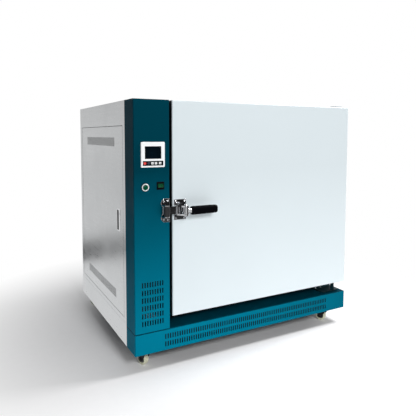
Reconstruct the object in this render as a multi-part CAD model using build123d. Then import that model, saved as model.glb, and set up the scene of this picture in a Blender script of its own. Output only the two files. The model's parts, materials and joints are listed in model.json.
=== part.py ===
from build123d import *

import math
import os

# Forced-air laboratory drying oven on casters. Millimetres.
# Working frame: x from the left side, y from the door face to the back, z from the floor.

# ---------------------------------------------------------------- cabinet
cabinet_width = 1080.0
cabinet_depth = 838.0
cabinet_height = 980.0  # plinth underside to top panel
sheet = 1.5  # steel sheet of the casing
bend = 3.0  # outside radius of a fold
flange = 16.0  # width of a folded-in edge
slip = 0.3  # room beside a piece that only drops into place

# ---------------------------------------------------------------- teal front module
module_depth = 100.0
plinth_height = 82.0
plinth_lip = 12.0
column_width = 145.0
column_seam = 1.5  # joint line between column and plinth

slot_width = 5.0
slot_height = 20.5
slot_pitch = 10.4
row_pitch = 30.2
plinth_slots_left = 126.5  # from the left side to the first slot's middle
plinth_slots_right = 120.0  # room kept free at the right end
plinth_slots_rise = 39.8  # plinth underside to the middle of the two rows
column_slot_columns = 9
column_slot_rows = 6
column_slots_x = 73.3
column_slots_rise = 197.3

# ---------------------------------------------------------------- controls on the column
controller_x = 75.8
controller_gap = 56.4  # switch frame to controller
controller_size = 96.0
controller_proud = 6.0
controller_case = 91.0
controller_case_depth = 78.0
window_width = 66.0
window_height = 47.5
window_lift = 8.0  # middle of the window above the middle of the controller
keypad_width = 82.0
keypad_height = 18.0
keypad_drop = 32.5  # middle of the key strip below the middle of the controller
inset_depth = 2.0
key_width = 9.6
key_height = 8.2
key_proud = 1.2
key_length = 5.0
key_travel = 0.8
key_gap = 0.3
key_offsets = {"power": -33.2, "program": -17.3, "shift": -2.9, "lower": 10.9, "raise": 28.0}

button_x = 45.1
button_drop = 3.4  # button's axis below the switch's middle
button_radius = 9.5
button_ring_radius = 15.5
button_ring_proud = 5.0
button_barrel_radius = 11.0
button_barrel_length = 28.0
button_proud = 8.0
button_stem = 20.0
button_block = 24.0

switch_x = 107.0
switch_gap = 35.6  # strike plate to switch frame
switch_width = 31.0
switch_height = 30.0
switch_proud = 2.5
switch_body = 27.0
switch_body_depth = 22.0
rocker_width = 22.0
rocker_height = 14.0
rocker_gap = 0.5
rocker_reach = 6.5  # pivot to the rocker's ends
rocker_sink = 1.5  # pivot behind the column's face
rocker_tilt = 7.0
trunnion_radius = 1.5
trunnion_length = 1.4

# ---------------------------------------------------------------- main door
door_gap = 12.0  # column to door
door_lift = 49.0  # plinth deck to door underside
door_drop = 1.0  # cabinet top to door top
door_thickness = 82.0
door_sheet = 1.2
door_edge_radius = 4.0
gasket_width = 18.0
gasket_inset = 6.0  # chamber mouth to the gasket
plug_depth = 30.0
plug_clearance = 12.0
plug_slope = 10.0

hinge_side_inset = 38.0  # pivot to the door's right edge
hinge_depth = 45.0  # pivot behind the door face
hinge_pin_radius = 6.0
hinge_pin_reach = 30.0  # pin inside the door
hinge_plate_width = 56.0
hinge_plate_thickness = 5.0
hinge_plate_overhang = 22.0  # plate in front of the pivot
hinge_plate_hold = 48.0  # upper plate on the header, behind the body's face
hinge_foot_reach = 82.0  # lower plate to the left of the pivot
header_margin = 4.0  # hinge plate to the header's rear edge
hinge_block = 40.0
hinge_boss_radius = 9.0
running_clearance = 0.05
door_opening = 110.0

# ---------------------------------------------------------------- door latch
latch_rise = 556.0
bolt_thickness = 12.0
bolt_height = 30.0
bolt_back = 5.0  # bolt's back in front of the door face
bolt_tip = 27.0  # bolt's tip beyond the column's right edge, towards the left
bolt_tail = 62.0  # bolt's tail to the right of that edge
bolt_travel = 16.0
latch_left = 5.0  # latch body from the door's left edge
latch_width = 52.0
latch_height = 81.0
latch_plate = 4.0
latch_waist = 4.0
latch_wall = 4.0
lever_pivot_x = 39.0  # from the door's left edge
lever_pivot_y = 42.0  # in front of the door face
lever_hub_radius = 11.0
lever_hub_height = 26.0
lever_finger = 8.0
finger_play = 1.4
lever_swing = 30.0
latch_pin_radius = 4.0
ear_thickness = 6.0
grip_start = 56.0  # from the door's left edge
grip_length = 114.0
grip_height = 33.0
grip_thickness = 23.0
grip_lead = 8.0  # grip's middle in front of the pivot
tang_height = 15.0
tang_thickness = 9.0

strike_width = 37.0
strike_height = 92.0
strike_plate = 3.0
strike_lobe_radius = 18.0
strike_waist = 7.0  # waist's left edge inside the lobes'
strike_ear_gap = 41.0
strike_ear = 3.0
strike_inset = 24.0  # roller axis from the column's right edge
roller_radius = 12.0
roller_height = 40.0
roller_pin_radius = 4.0

# ---------------------------------------------------------------- left side and its access door
skirt_seam_rise = 90.0
seam_width = 1.5
access_front = 127.0
access_rear_margin = 38.0
access_rise = 110.0
access_top_margin = 97.0
access_gap = 2.0
access_hinge_gap = 3.5
access_flange = 14.0
access_pan = 10.0
access_pivot_x = 6.0
access_pivot_inset = 5.0
access_pin_radius = 2.5
access_pin_length = 12.0
grille_slot_width = 4.5
grille_slot_pitch = 9.5
grille_inset = 110.0  # door edge to the first slot
grille_slot_height = 37.0
grille_edge = 64.0  # door's top and bottom edges to the middle of a grille

lock_inset = 55.0  # access door's front edge to the lock's middle
lock_rise = 498.5
lock_width = 45.0
lock_height = 93.0
lock_depth = 14.0
lock_rim = 3.0
lock_proud = 1.5
lock_recess_width = 16.0
lock_recess_offset = 9.0  # recess's middle behind the lock's middle
key_barrel_radius = 7.0
key_barrel_offset = 9.0  # barrel in front of the lock's middle
key_barrel_lift = 28.0
cam_reach = 64.0
cam_width = 16.0
cam_thickness = 2.5

# ---------------------------------------------------------------- insulated chamber
insulation_left = 66.0
insulation_right = 78.0
insulation_top = 52.0
insulation_floor = 95.0
insulation_rear = 70.0
liner_wall = 1.2
liner_corner = 20.0
duct_depth = 75.0
duct_margin_front = 32.0
duct_margin_rear = 26.0
duct_margin_height = 24.0
duct_slot_length = 44.0
duct_slot_width = 7.0
duct_slot_columns = 6
duct_slot_rows = 5
duct_inlet_radius = 62.0

upright_width = 20.0
upright_depth = 8.0
upright_inset = 60.0  # ends of the duct to the uprights
runner_width = 15.0
runner_sheet = 1.5
shelf_levels = (0.34, 0.66)  # shares of the chamber's height
shelf_side_gap = 2.0
shelf_front_gap = 36.0
shelf_rod = 4.0
shelf_wire = 2.0
shelf_wires = 13
shelf_travel = 28.0

# ---------------------------------------------------------------- air circulation and heating
fan_y = 430.0
fan_rise = 560.0
fan_radius = 82.0
fan_eye_radius = 48.0
fan_hub_radius = 16.0
fan_blades = 11
fan_blade_height = 34.0
fan_plate = 2.0
fan_wall_gap = 12.0
shaft_radius = 6.0
motor_radius = 52.0
motor_length = 84.0
motor_standoff = 12.0
heater_radius = 4.0
heater_run = 360.0
heater_height = 64.0
heater_offset = 165.0
heater_bend = 14.0
pass_clearance = 1.0
probe_radius = 3.0
probe_reach = 60.0
probe_y = 200.0
probe_rise = 700.0

# ---------------------------------------------------------------- electrical pieces
relay_width = 46.0
relay_height = 82.0
relay_depth = 84.0
relay_y = 620.0
relay_rise = 300.0
terminal_y = 380.0
terminal_rise = 262.0
terminal_pitch = 12.0
terminal_count = 10

# ---------------------------------------------------------------- rear services
exhaust_x = 850.0
exhaust_drop = 130.0  # top panel to the spigot's axis
exhaust_radius = 30.0
exhaust_wall = 2.0
exhaust_length = 56.0
exhaust_collar_radius = 33.0  # thick part of the tube that carries the damper's shaft
exhaust_collar_margin = 1.0  # knob to the collar's end
exhaust_flange_radius = 46.0
exhaust_flange = 3.0
damper_gap = 1.5
damper_plate = 2.0
damper_rise = 16.0  # rear panel to the damper's axis
damper_shaft_radius = 3.0
damper_knob_radius = 9.0
damper_knob_length = 12.0

field_left = 150.0
field_right = 770.0
field_bottom = 150.0
field_top = 890.0
field_corner = 30.0

gland_x = 72.0
gland_rise = 130.0
gland_bore = 6.5
gland_thread_radius = 10.0
gland_hex = 24.0
gland_length = 22.0
gland_tail = 8.0  # threaded body inside the back

# ---------------------------------------------------------------- chassis and casters
rail_width = 72.0
rail_wall = 3.0
caster_height = 70.0
caster_left = 62.0
caster_right = 80.0
caster_front = 46.0
caster_rear = 62.0
caster_plate_size = 60.0
caster_plate = 3.0
race_radius = 19.0
race_height = 4.0
kingpin_radius = 4.0
kingpin_head = 3.0
fork_head_radius = 21.0
fork_head = 6.0
fork_sheet = 2.5
fork_end_radius = 12.0
wheel_radius = 25.0
wheel_width = 20.0
wheel_gap = 1.5
wheel_hub_radius = 8.0
wheel_rim_radius = 17.0
wheel_recess = 4.0
axle_radius = 3.0
axle_head_radius = 6.0
axle_head = 4.0
caster_trail = 22.0
caster_yaws = {"front_left": 17.0, "front_right": 20.0, "rear_left": 32.0, "rear_right": 10.0}

# ---------------------------------------------------------------- places worked out from the sizes
base_z = caster_height
deck_z = base_z + plinth_height
top_z = base_z + cabinet_height
inner_top = top_z - sheet
body_front = module_depth
body_inner_front = body_front + sheet
rear_inner = cabinet_depth - sheet
right_inner = cabinet_width - sheet
partition_x = column_width
partition_inner = partition_x + sheet
floor_z = deck_z + sheet

liner_left = partition_inner + insulation_left
liner_right = right_inner - insulation_right
liner_bottom = floor_z + insulation_floor
liner_top = inner_top - insulation_top
liner_rear = rear_inner - insulation_rear
chamber_left = liner_left + liner_wall
chamber_right = liner_right - liner_wall
chamber_bottom = liner_bottom + liner_wall
chamber_top = liner_top - liner_wall
chamber_rear = liner_rear - liner_wall
chamber_width = chamber_right - chamber_left
chamber_height = chamber_top - chamber_bottom
mouth_x = (chamber_left + chamber_right) / 2
mouth_z = (chamber_bottom + chamber_top) / 2

door_left = column_width + door_gap
door_right = cabinet_width
door_bottom = deck_z + door_lift
door_top = top_z - door_drop
pivot_x = door_right - hinge_side_inset
pivot_y = hinge_depth
roof_front = body_front + hinge_plate_hold + header_margin
gasket_depth = body_front - door_thickness - slip

latch_z = base_z + latch_rise
switch_rise = latch_rise + strike_height / 2 + switch_gap + switch_height / 2
button_rise = switch_rise - button_drop
controller_rise = switch_rise + switch_height / 2 + controller_gap + controller_size / 2
bolt_front = -(bolt_back + bolt_thickness)
lever_x = door_left + lever_pivot_x
lever_y = -lever_pivot_y
roller_x = column_width - strike_inset
roller_y = bolt_front - slip - roller_radius

access_rear = cabinet_depth - access_rear_margin
access_bottom = base_z + access_rise
access_top = top_z - access_top_margin
access_pivot_y = access_rear - access_hinge_gap - access_pivot_inset
lock_y = access_front + access_gap + lock_inset
lock_z = base_z + lock_rise
key_barrel_z = lock_z + key_barrel_lift
key_barrel_y = lock_y - key_barrel_offset

fan_z = base_z + fan_rise
duct_x = chamber_left + duct_depth
exhaust_z = top_z - exhaust_drop
gland_z = base_z + gland_rise
axle_z = wheel_radius
fork_top = caster_height - caster_plate - race_height
front_reach = lever_pivot_y + grip_lead + grip_thickness / 2
collar_rise = damper_rise + damper_knob_radius + exhaust_collar_margin
rear_reach = cabinet_depth + exhaust_length
origin_y = (rear_reach - front_reach) / 2

BACK = (0, 1, 0)
RIGHT = (1, 0, 0)
UP = (0, 0, 1)
FORWARD = (0, -1, 0)


# ---------------------------------------------------------------- helpers
def block(x0, x1, y0, y1, z0, z1):
    """Block between two corners."""
    return Pos((x0 + x1) / 2, (y0 + y1) / 2, (z0 + z1) / 2) * Box(x1 - x0, y1 - y0, z1 - z0)


def front_plane(y):
    """Upright plane at depth y, its sketch axes along X and Z."""
    return Plane(origin=(0, y, 0), x_dir=RIGHT, z_dir=FORWARD)


def side_plane(x):
    """Upright plane at x, its sketch axes along Y and Z."""
    return Plane(origin=(x, 0, 0), x_dir=BACK, z_dir=RIGHT)


def level_plane(z):
    """Level plane at height z, its sketch axes along X and Y."""
    return Plane(origin=(0, 0, z))


def rod(start, end, radius):
    """Round bar between two points."""
    axis = Vector(*end) - Vector(*start)
    return extrude(Plane(origin=start, z_dir=axis) * Circle(radius), amount=axis.length)


def hull(*shapes):
    """Flat outline stretched round several flat shapes."""
    return make_hull([edge for shape in shapes for edge in shape.edges()])


def turned(outline, origin, direction):
    """Solid of revolution from (radius, height) corners, the heights counted along direction."""
    face = make_face(Plane.XZ * Polyline(*outline, close=True))
    return Plane(origin=origin, z_dir=direction) * revolve(face, Axis.Z)


def pan(x0, x1, y0, y1, z0, z1, wall, radius):
    """Folded box, open at the back, with rounded edges round its front face."""
    outer = block(x0, x1, y0, y1, z0, z1)
    outer = fillet(outer.faces().sort_by(Axis.Y)[0].edges(), radius)
    inner = block(x0 + wall, x1 - wall, y0 + wall, y1 + wall, z0 + wall, z1 - wall)
    inner = fillet(inner.faces().sort_by(Axis.Y)[0].edges(), radius - wall / 2)
    return outer - inner


def ring_plate(plane, outer, inner, centre, thickness, direction, corner, inner_corner):
    """Flat rectangular ring with rounded corners."""
    profile = RectangleRounded(*outer, corner) - RectangleRounded(*inner, inner_corner)
    return extrude(plane * (Pos(*centre) * profile), amount=thickness, dir=direction)


def slot_field(plane, centre, pitch, count, size, depth, direction):
    """Pattern of punched slots, as one cutting shape."""
    slots = Sketch() + [place * Rectangle(*size) for place in GridLocations(*pitch, *count)]
    return extrude(plane * (Pos(*centre) * slots), amount=depth, dir=direction)


# ---------------------------------------------------------------- chassis and casters
def base_frame():
    """Channel rails of the chassis: two along the sides and three across."""
    rail_height = plinth_height - sheet
    y0 = caster_front - caster_plate_size / 2
    y1 = cabinet_depth - caster_rear + caster_plate_size / 2

    def channel(length):
        """Channel section that opens to +X, standing along +Y."""
        outer = Rectangle(rail_width, rail_height)
        hollow = Pos(rail_wall, 0) * Rectangle(rail_width, rail_height - 2 * rail_wall)
        return extrude(front_plane(0) * (outer - hollow), amount=length, dir=BACK)

    middle_z = base_z + rail_height / 2
    left_x = caster_left
    right_x = cabinet_width - caster_right
    rails = [
        Pos(left_x, y0, middle_z) * channel(y1 - y0),
        Pos(right_x, y1, middle_z) * (Rot(0, 0, 180) * channel(y1 - y0)),
    ]
    inner_left = left_x + rail_width / 2
    span = right_x - left_x - rail_width
    for y in (y0 + rail_width / 2, (y0 + y1) / 2):
        rails.append(Pos(inner_left + span, y, middle_z) * (Rot(0, 0, 90) * channel(span)))
    y = y1 - rail_width / 2
    rails.append(Pos(inner_left, y, middle_z) * (Rot(0, 0, -90) * channel(span)))
    return rails


def caster_places():
    """Kingpin positions by corner name."""
    left, right = caster_left, cabinet_width - caster_right
    front, rear = caster_front, cabinet_depth - caster_rear
    return {
        "front_left": (left, front),
        "front_right": (right, front),
        "rear_left": (left, rear),
        "rear_right": (right, rear),
    }


def caster_plate_at(x, y):
    """Top plate of a caster with its bearing race and the riveted kingpin."""
    plate = extrude(
        Pos(x, y, caster_height - caster_plate) * RectangleRounded(caster_plate_size, caster_plate_size, 5),
        amount=caster_plate,
    )
    head_bottom = fork_top - fork_head - kingpin_head
    outline = [
        (0, caster_height - caster_plate),
        (race_radius, caster_height - caster_plate),
        (race_radius - 3, fork_top + slip),
        (kingpin_radius, fork_top + slip),
        (kingpin_radius, fork_top - fork_head - slip),
        (kingpin_radius * 2, fork_top - fork_head - slip),
        (kingpin_radius * 1.6, head_bottom),
        (0, head_bottom),
    ]
    plate += turned(outline, (x, y, 0), UP)
    slots = Locations(*[(x + i * 21, y + j * 21, caster_height) for i in (-1, 1) for j in (-1, 1)])
    return plate - [place * Cylinder(3.2, 4 * caster_plate) for place in slots]


def caster_fork(x, y, yaw):
    """Swivel fork with its round head, two legs and the axle bolt, turned to its rest angle."""
    leg_inside = wheel_width / 2 + wheel_gap
    leg_outside = leg_inside + fork_sheet
    head = turned(
        [
            (kingpin_radius + running_clearance, fork_top),
            (fork_head_radius - 4, fork_top),
            (fork_head_radius, fork_top - fork_head + fork_sheet),
            (fork_head_radius, fork_top - fork_head),
            (kingpin_radius + running_clearance, fork_top - fork_head),
        ],
        (0, 0, 0),
        UP,
    )
    crown_z = fork_top - fork_head
    outline = hull(
        Pos(caster_trail, axle_z) * Circle(fork_end_radius),
        Pos(2, crown_z + 1) * Rectangle(2 * leg_outside, 2),
    )
    legs = Part()
    for side in (-1, 1):
        at = leg_inside if side > 0 else -leg_outside
        legs += extrude(side_plane(at) * outline, amount=fork_sheet, dir=RIGHT)
    bolt = rod((-leg_outside, caster_trail, axle_z), (leg_outside, caster_trail, axle_z), axle_radius)
    fork = head + legs - bolt
    for side in (-1, 1):
        bolt += rod(
            (side * leg_outside, caster_trail, axle_z),
            (side * (leg_outside + axle_head), caster_trail, axle_z),
            axle_head_radius,
        )
    return [Pos(x, y, 0) * (Rot(0, 0, yaw) * piece) for piece in (fork, bolt)]


def caster_wheel(x, y, yaw):
    """Moulded wheel: rounded tread, recessed web and bored hub."""
    half = wheel_width / 2
    bore = axle_radius + running_clearance
    tread = wheel_radius
    side = [
        (bore, half + wheel_gap - slip),
        (wheel_hub_radius, half + wheel_gap - slip),
        (wheel_hub_radius, half - wheel_recess),
        (wheel_rim_radius, half - wheel_recess),
        (wheel_rim_radius + 1.5, half),
        (tread - 2.5, half),
        (tread - 0.7, half - 1.8),
        (tread, half - 4.5),
    ]
    outline = side + [(r, -h) for r, h in reversed(side)]
    wheel = turned(outline, (0, caster_trail, axle_z), RIGHT)
    return Pos(x, y, 0) * (Rot(0, 0, yaw) * wheel)


# ---------------------------------------------------------------- teal front module
def plinth_cover():
    """Folded plinth: slotted front, deck, end walls and a lip under the front."""
    outer = block(0, cabinet_width, 0, module_depth, base_z, deck_z)
    front = outer.faces().sort_by(Axis.Y)[0]
    outer = fillet(front.edges().sort_by(Axis.Z)[1:], bend)
    inner = block(sheet, right_inner, sheet, module_depth + 1, base_z - 1, deck_z - sheet)
    cover = outer - inner
    cover += block(sheet, right_inner, sheet, plinth_lip, base_z, base_z + sheet)
    span = cabinet_width - plinth_slots_left - plinth_slots_right
    count = int(span // slot_pitch) + 1
    middle = plinth_slots_left + (count - 1) * slot_pitch / 2
    cover -= slot_field(
        front_plane(-1),
        (middle, base_z + plinth_slots_rise),
        (slot_pitch, row_pitch),
        (count, 2),
        (slot_width, slot_height),
        sheet + 2,
        BACK,
    )
    return cover


def column_cover():
    """Folded control column with vent slots and the panel cut-outs."""
    cover = pan(0, column_width, 0, module_depth, deck_z + column_seam, top_z, sheet, bend)
    cover -= slot_field(
        front_plane(-1),
        (column_slots_x, base_z + column_slots_rise),
        (slot_pitch, row_pitch),
        (column_slot_columns, column_slot_rows),
        (slot_width, slot_height),
        sheet + 2,
        BACK,
    )
    openings = Sketch()
    openings += Pos(controller_x, base_z + controller_rise) * Rectangle(
        controller_case + 2 * slip, controller_case + 2 * slip
    )
    openings += Pos(button_x, base_z + button_rise) * Circle(button_barrel_radius + slip)
    openings += Pos(switch_x, base_z + switch_rise) * Rectangle(
        switch_body + 2 * slip, switch_body + 2 * slip
    )
    return cover - extrude(front_plane(-1) * openings, amount=sheet + 2, dir=BACK)


# ---------------------------------------------------------------- controls
def key_places():
    """Middle of each key on the column's face, by name."""
    z = base_z + controller_rise - keypad_drop
    return {name: (controller_x + offset, z) for name, offset in key_offsets.items()}


def controller_housing():
    """Moulded controller case with its square front bezel, pockets and key wells."""
    z = base_z + controller_rise
    half = controller_size / 2
    bezel = block(
        controller_x - half, controller_x + half, -controller_proud, 0, z - half, z + half
    )
    bezel = fillet(bezel.edges().filter_by(Axis.Y), 4)
    bezel = fillet(bezel.faces().sort_by(Axis.Y)[0].edges(), 2.5)
    inner = controller_case / 2
    case = block(
        controller_x - inner, controller_x + inner, 0, controller_case_depth, z - inner, z + inner
    )
    case = chamfer(case.faces().sort_by(Axis.Y)[-1].edges(), 3)
    pockets = Pos(controller_x, z + window_lift) * Rectangle(window_width, window_height)
    pockets += Pos(controller_x, z - keypad_drop) * Rectangle(keypad_width, keypad_height)
    housing = bezel + case
    housing -= extrude(front_plane(-controller_proud) * pockets, amount=inset_depth, dir=BACK)
    return housing - key_wells(controller_proud - 0.5)


def key_wells(depth):
    """Holes that the keys slide in."""
    wells = Sketch()
    for x, z in key_places().values():
        wells += Pos(x, z) * Rectangle(key_width + 2 * key_gap, key_height + 2 * key_gap)
    return extrude(front_plane(-controller_proud) * wells, amount=depth, dir=BACK)


def controller_fascia():
    """Black display window and the black strip round the keys."""
    z = base_z + controller_rise
    front = front_plane(-controller_proud + slip)
    depth = inset_depth - slip
    window = Pos(controller_x, z + window_lift) * Rectangle(window_width, window_height)
    strip = Pos(controller_x, z - keypad_drop) * Rectangle(keypad_width, keypad_height)
    window = extrude(front * window, amount=depth, dir=BACK)
    strip = extrude(front * strip, amount=depth, dir=BACK)
    return [window, strip - key_wells(controller_proud)]


def key(x, z):
    """One push key with softened front edges."""
    front = -controller_proud - key_proud
    cap = block(
        x - key_width / 2,
        x + key_width / 2,
        front,
        front + key_length,
        z - key_height / 2,
        z + key_height / 2,
    )
    return fillet(cap.faces().sort_by(Axis.Y)[0].edges(), 0.8)


def pushbutton_ring():
    """Chromed ring and threaded barrel of the start button, with its contact block."""
    bore = button_radius + key_gap
    ring = turned(
        [
            (bore, button_ring_proud),
            (button_ring_radius - 2, button_ring_proud),
            (button_ring_radius, button_ring_proud - 2),
            (button_ring_radius, 0),
            (button_barrel_radius, 0),
            (button_barrel_radius, -button_barrel_length),
            (bore, -button_barrel_length),
        ],
        (button_x, 0, base_z + button_rise),
        FORWARD,
    )
    half = button_block / 2
    z = base_z + button_rise
    contact = block(
        button_x - half,
        button_x + half,
        button_barrel_length,
        button_barrel_length + button_block,
        z - half,
        z + half,
    )
    return [ring, chamfer(contact.edges().filter_by(Axis.Y), 2)]


def pushbutton_cap():
    """Domed button cap and stem."""
    return turned(
        [
            (0, button_proud),
            (button_radius * 0.55, button_proud - 0.3),
            (button_radius - 1.6, button_proud - 1.1),
            (button_radius, button_proud - 3),
            (button_radius, -button_stem),
            (0, -button_stem),
        ],
        (button_x, 0, base_z + button_rise),
        FORWARD,
    )


def switch_bezel():
    """Black frame and body of the mains rocker switch, with the rocker's well."""
    z = base_z + switch_rise
    frame = block(
        switch_x - switch_width / 2,
        switch_x + switch_width / 2,
        -switch_proud,
        0,
        z - switch_height / 2,
        z + switch_height / 2,
    )
    frame = fillet(frame.edges().filter_by(Axis.Y), 2)
    frame = chamfer(frame.faces().sort_by(Axis.Y)[0].edges(), 1)
    half = switch_body / 2
    body = block(switch_x - half, switch_x + half, 0, switch_body_depth, z - half, z + half)
    well_half = rocker_width / 2 + rocker_gap
    well_rise = rocker_height / 2 + 2 * rocker_gap
    well = block(
        switch_x - well_half,
        switch_x + well_half,
        -switch_proud - 1,
        rocker_sink + rocker_reach + 2,
        z - well_rise,
        z + well_rise,
    )
    reach = rocker_width / 2 + trunnion_length + rocker_gap
    bearing = rod(
        (switch_x - reach, rocker_sink, z),
        (switch_x + reach, rocker_sink, z),
        trunnion_radius + running_clearance,
    )
    return frame + body - well - bearing


def switch_rocker():
    """Two-way rocker on its trunnions, resting with one end pressed in."""
    z = base_z + switch_rise
    half = rocker_height / 2
    outline = Polyline(
        (-rocker_reach, half),
        (-rocker_reach + 1.6, 0),
        (-rocker_reach, -half),
        (half * 0.35, -half * 0.8),
        (half * 0.75, 0),
        (half * 0.35, half * 0.8),
        close=True,
    )
    body = extrude(
        side_plane(-rocker_width / 2) * make_face(outline), amount=rocker_width, dir=RIGHT
    )
    reach = rocker_width / 2 + trunnion_length
    body += rod((-reach, 0, 0), (reach, 0, 0), trunnion_radius)
    return Pos(switch_x, rocker_sink, z) * (Rot(-rocker_tilt, 0, 0) * body)


# ---------------------------------------------------------------- main door
def hinge_bore(z0, z1):
    """Clearance hole of the door's pivot between two heights."""
    return rod((pivot_x, pivot_y, z0), (pivot_x, pivot_y, z1), hinge_pin_radius + running_clearance)


def hinge_seats():
    """Low and high z of the hinge blocks inside the door, lower and upper."""
    inside_bottom = door_bottom + door_sheet
    inside_top = door_top - door_sheet
    return ((inside_bottom, inside_bottom + hinge_block), (inside_top - hinge_block, inside_top))


def door_skin():
    """Folded outer pan of the door."""
    skin = pan(
        door_left, door_right, 0, door_thickness, door_bottom, door_top, door_sheet, door_edge_radius
    )
    return skin - hinge_bore(door_bottom - 1, door_top + 1)


def door_hinge_blocks():
    """Steel blocks in the door's corners, bored for the hinge pins."""
    half = hinge_block / 2
    y0 = pivot_y - half
    y1 = pivot_y + half
    x1 = door_right - door_sheet
    blocks = []
    for z0, z1 in hinge_seats():
        seat = block(pivot_x - half, x1, y0, y1, z0, z1)
        seat = chamfer(seat.edges().filter_by(Axis.Z), 2)
        blocks.append(seat - hinge_bore(z0 - 1, z1 + 1))
    return blocks


def door_insulation():
    """Mineral wool slab inside the door, notched round the hinge blocks."""
    inset = door_edge_radius + door_sheet
    wool = block(
        door_left + inset,
        door_right - inset,
        door_sheet,
        door_thickness - door_sheet,
        door_bottom + inset,
        door_top - inset,
    )
    half = hinge_block / 2 + 1
    for z0, z1 in hinge_seats():
        wool -= block(
            pivot_x - half, door_right, pivot_y - half, pivot_y + half, z0 - inset, z1 + 1
        )
    return wool


def door_liner():
    """Stainless inner plate of the door with the pressed plug that enters the chamber mouth."""
    y0 = door_thickness - door_sheet
    plate = block(
        door_left + door_sheet,
        door_right - door_sheet,
        y0,
        door_thickness,
        door_bottom + door_sheet,
        door_top - door_sheet,
    )
    wide = (chamber_width - 2 * plug_clearance, chamber_height - 2 * plug_clearance)
    narrow = (wide[0] - 2 * plug_slope, wide[1] - 2 * plug_slope)

    def tapered(inset, depth):
        """Tapered plug shape, smaller all round by inset."""
        root = Pos(mouth_x, mouth_z) * RectangleRounded(
            wide[0] - 2 * inset, wide[1] - 2 * inset, liner_corner
        )
        face = Pos(mouth_x, mouth_z) * RectangleRounded(
            narrow[0] - 2 * inset, narrow[1] - 2 * inset, liner_corner
        )
        return loft([front_plane(door_thickness - door_sheet) * root, front_plane(depth) * face])

    depth = door_thickness + plug_depth
    return plate + tapered(0, depth) - tapered(door_sheet, depth - door_sheet)


def door_gasket():
    """Silicone frame gasket round the chamber mouth, rounded on its free edges."""
    inner = (chamber_width + 2 * gasket_inset, chamber_height + 2 * gasket_inset)
    outer = (inner[0] + 2 * gasket_width, inner[1] + 2 * gasket_width)
    ring = ring_plate(
        front_plane(door_thickness),
        outer,
        inner,
        (mouth_x, mouth_z),
        gasket_depth,
        BACK,
        liner_corner + gasket_width,
        liner_corner,
    )
    return fillet(ring.faces().sort_by(Axis.Y)[-1].edges(), gasket_width / 4)


def door_hinge_brackets():
    """Upper plate on the header and longer lower plate on the plinth deck, the lower with a boss."""
    x1 = pivot_x + hinge_plate_width / 2
    front = pivot_y - hinge_plate_overhang
    plates = []
    for z, left, rear in (
        (top_z, pivot_x - hinge_plate_width / 2, body_front + hinge_plate_hold),
        (deck_z, pivot_x - hinge_foot_reach, body_front - slip),
    ):
        plate = block(left, x1, front, rear, z, z + hinge_plate_thickness)
        rounded = plate.edges().filter_by(Axis.Z).sort_by(Axis.Y)[:2]
        plates.append(fillet(rounded, hinge_plate_width * 0.3))
    boss_top = door_bottom - slip
    boss = rod(
        (pivot_x, pivot_y, deck_z + hinge_plate_thickness),
        (pivot_x, pivot_y, boss_top),
        hinge_boss_radius,
    )
    plates[1] += boss
    sockets = (
        (top_z - 1, top_z + hinge_plate_thickness - 1),
        (deck_z + hinge_plate_thickness, boss_top + 1),
    )
    return [
        plate - rod((pivot_x, pivot_y, z0), (pivot_x, pivot_y, z1), hinge_pin_radius)
        for plate, (z0, z1) in zip(plates, sockets)
    ]


def door_hinge_pins():
    """Pivot pins pressed into the two brackets."""
    top = top_z + hinge_plate_thickness - 1
    foot = deck_z + hinge_plate_thickness
    return [
        rod((pivot_x, pivot_y, top), (pivot_x, pivot_y, door_top - hinge_pin_reach), hinge_pin_radius),
        rod((pivot_x, pivot_y, foot), (pivot_x, pivot_y, door_bottom + hinge_pin_reach), hinge_pin_radius),
    ]


# ---------------------------------------------------------------- door latch
def latch_body():
    """Chromed latch case on the door: screw plate, bolt guide, two ears and the lever's pin."""
    x0 = door_left + latch_left
    x1 = x0 + latch_width
    plate = block(
        x0, x1, -latch_plate, 0, latch_z - latch_height / 2, latch_z + latch_height / 2
    )
    guide_half = bolt_height / 2 + slip + latch_wall
    for x in (x0, x1):
        plate -= block(
            x - latch_waist,
            x + latch_waist,
            -latch_plate - 1,
            1,
            latch_z - guide_half,
            latch_z + guide_half,
        )
    plate = fillet(plate.edges().filter_by(Axis.Y), latch_waist * 0.45)
    plate = fillet(plate.faces().sort_by(Axis.Y)[0].edges(), latch_plate * 0.35)
    guide_front = bolt_front - slip - latch_wall
    guide = block(
        x0 + latch_waist,
        x1 - latch_waist,
        guide_front,
        -latch_plate,
        latch_z - guide_half,
        latch_z + guide_half,
    )
    guide = fillet(guide.faces().sort_by(Axis.Y)[0].edges(), 2.5)
    ear_low = lever_hub_height / 2 + slip
    ears = Part()
    plan = hull(
        Pos(lever_x, lever_y) * Circle(lever_hub_radius),
        Pos((x0 + x1) / 2, bolt_front) * Rectangle(latch_width - 10, 4),
    )
    for z in (latch_z + ear_low, latch_z - ear_low - ear_thickness):
        ears += extrude(level_plane(z) * plan, amount=ear_thickness)
    body = plate + guide + ears
    channel_half = bolt_height / 2 + slip
    body -= block(
        x0 - 1, x1 + 1, bolt_front - slip, -bolt_back + slip, latch_z - channel_half, latch_z + channel_half
    )
    # Room for the lever's hub and finger between the ears.
    swing = lever_hub_radius + 2
    body -= block(
        lever_x - swing,
        x1 + 1,
        lever_y - swing,
        bolt_front,
        latch_z - ear_low,
        latch_z + ear_low,
    )
    pin_half = ear_low + ear_thickness
    cap = latch_pin_radius * 2
    side = [
        (latch_pin_radius, pin_half),
        (cap, pin_half),
        (cap * 0.9, pin_half + cap * 0.35),
        (cap * 0.55, pin_half + cap * 0.6),
        (0, pin_half + cap * 0.7),
    ]
    outline = side + [(r, -h) for r, h in reversed(side)]
    pin = turned(outline, (lever_x, lever_y, latch_z), UP)
    return [body - pin, pin]


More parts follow.
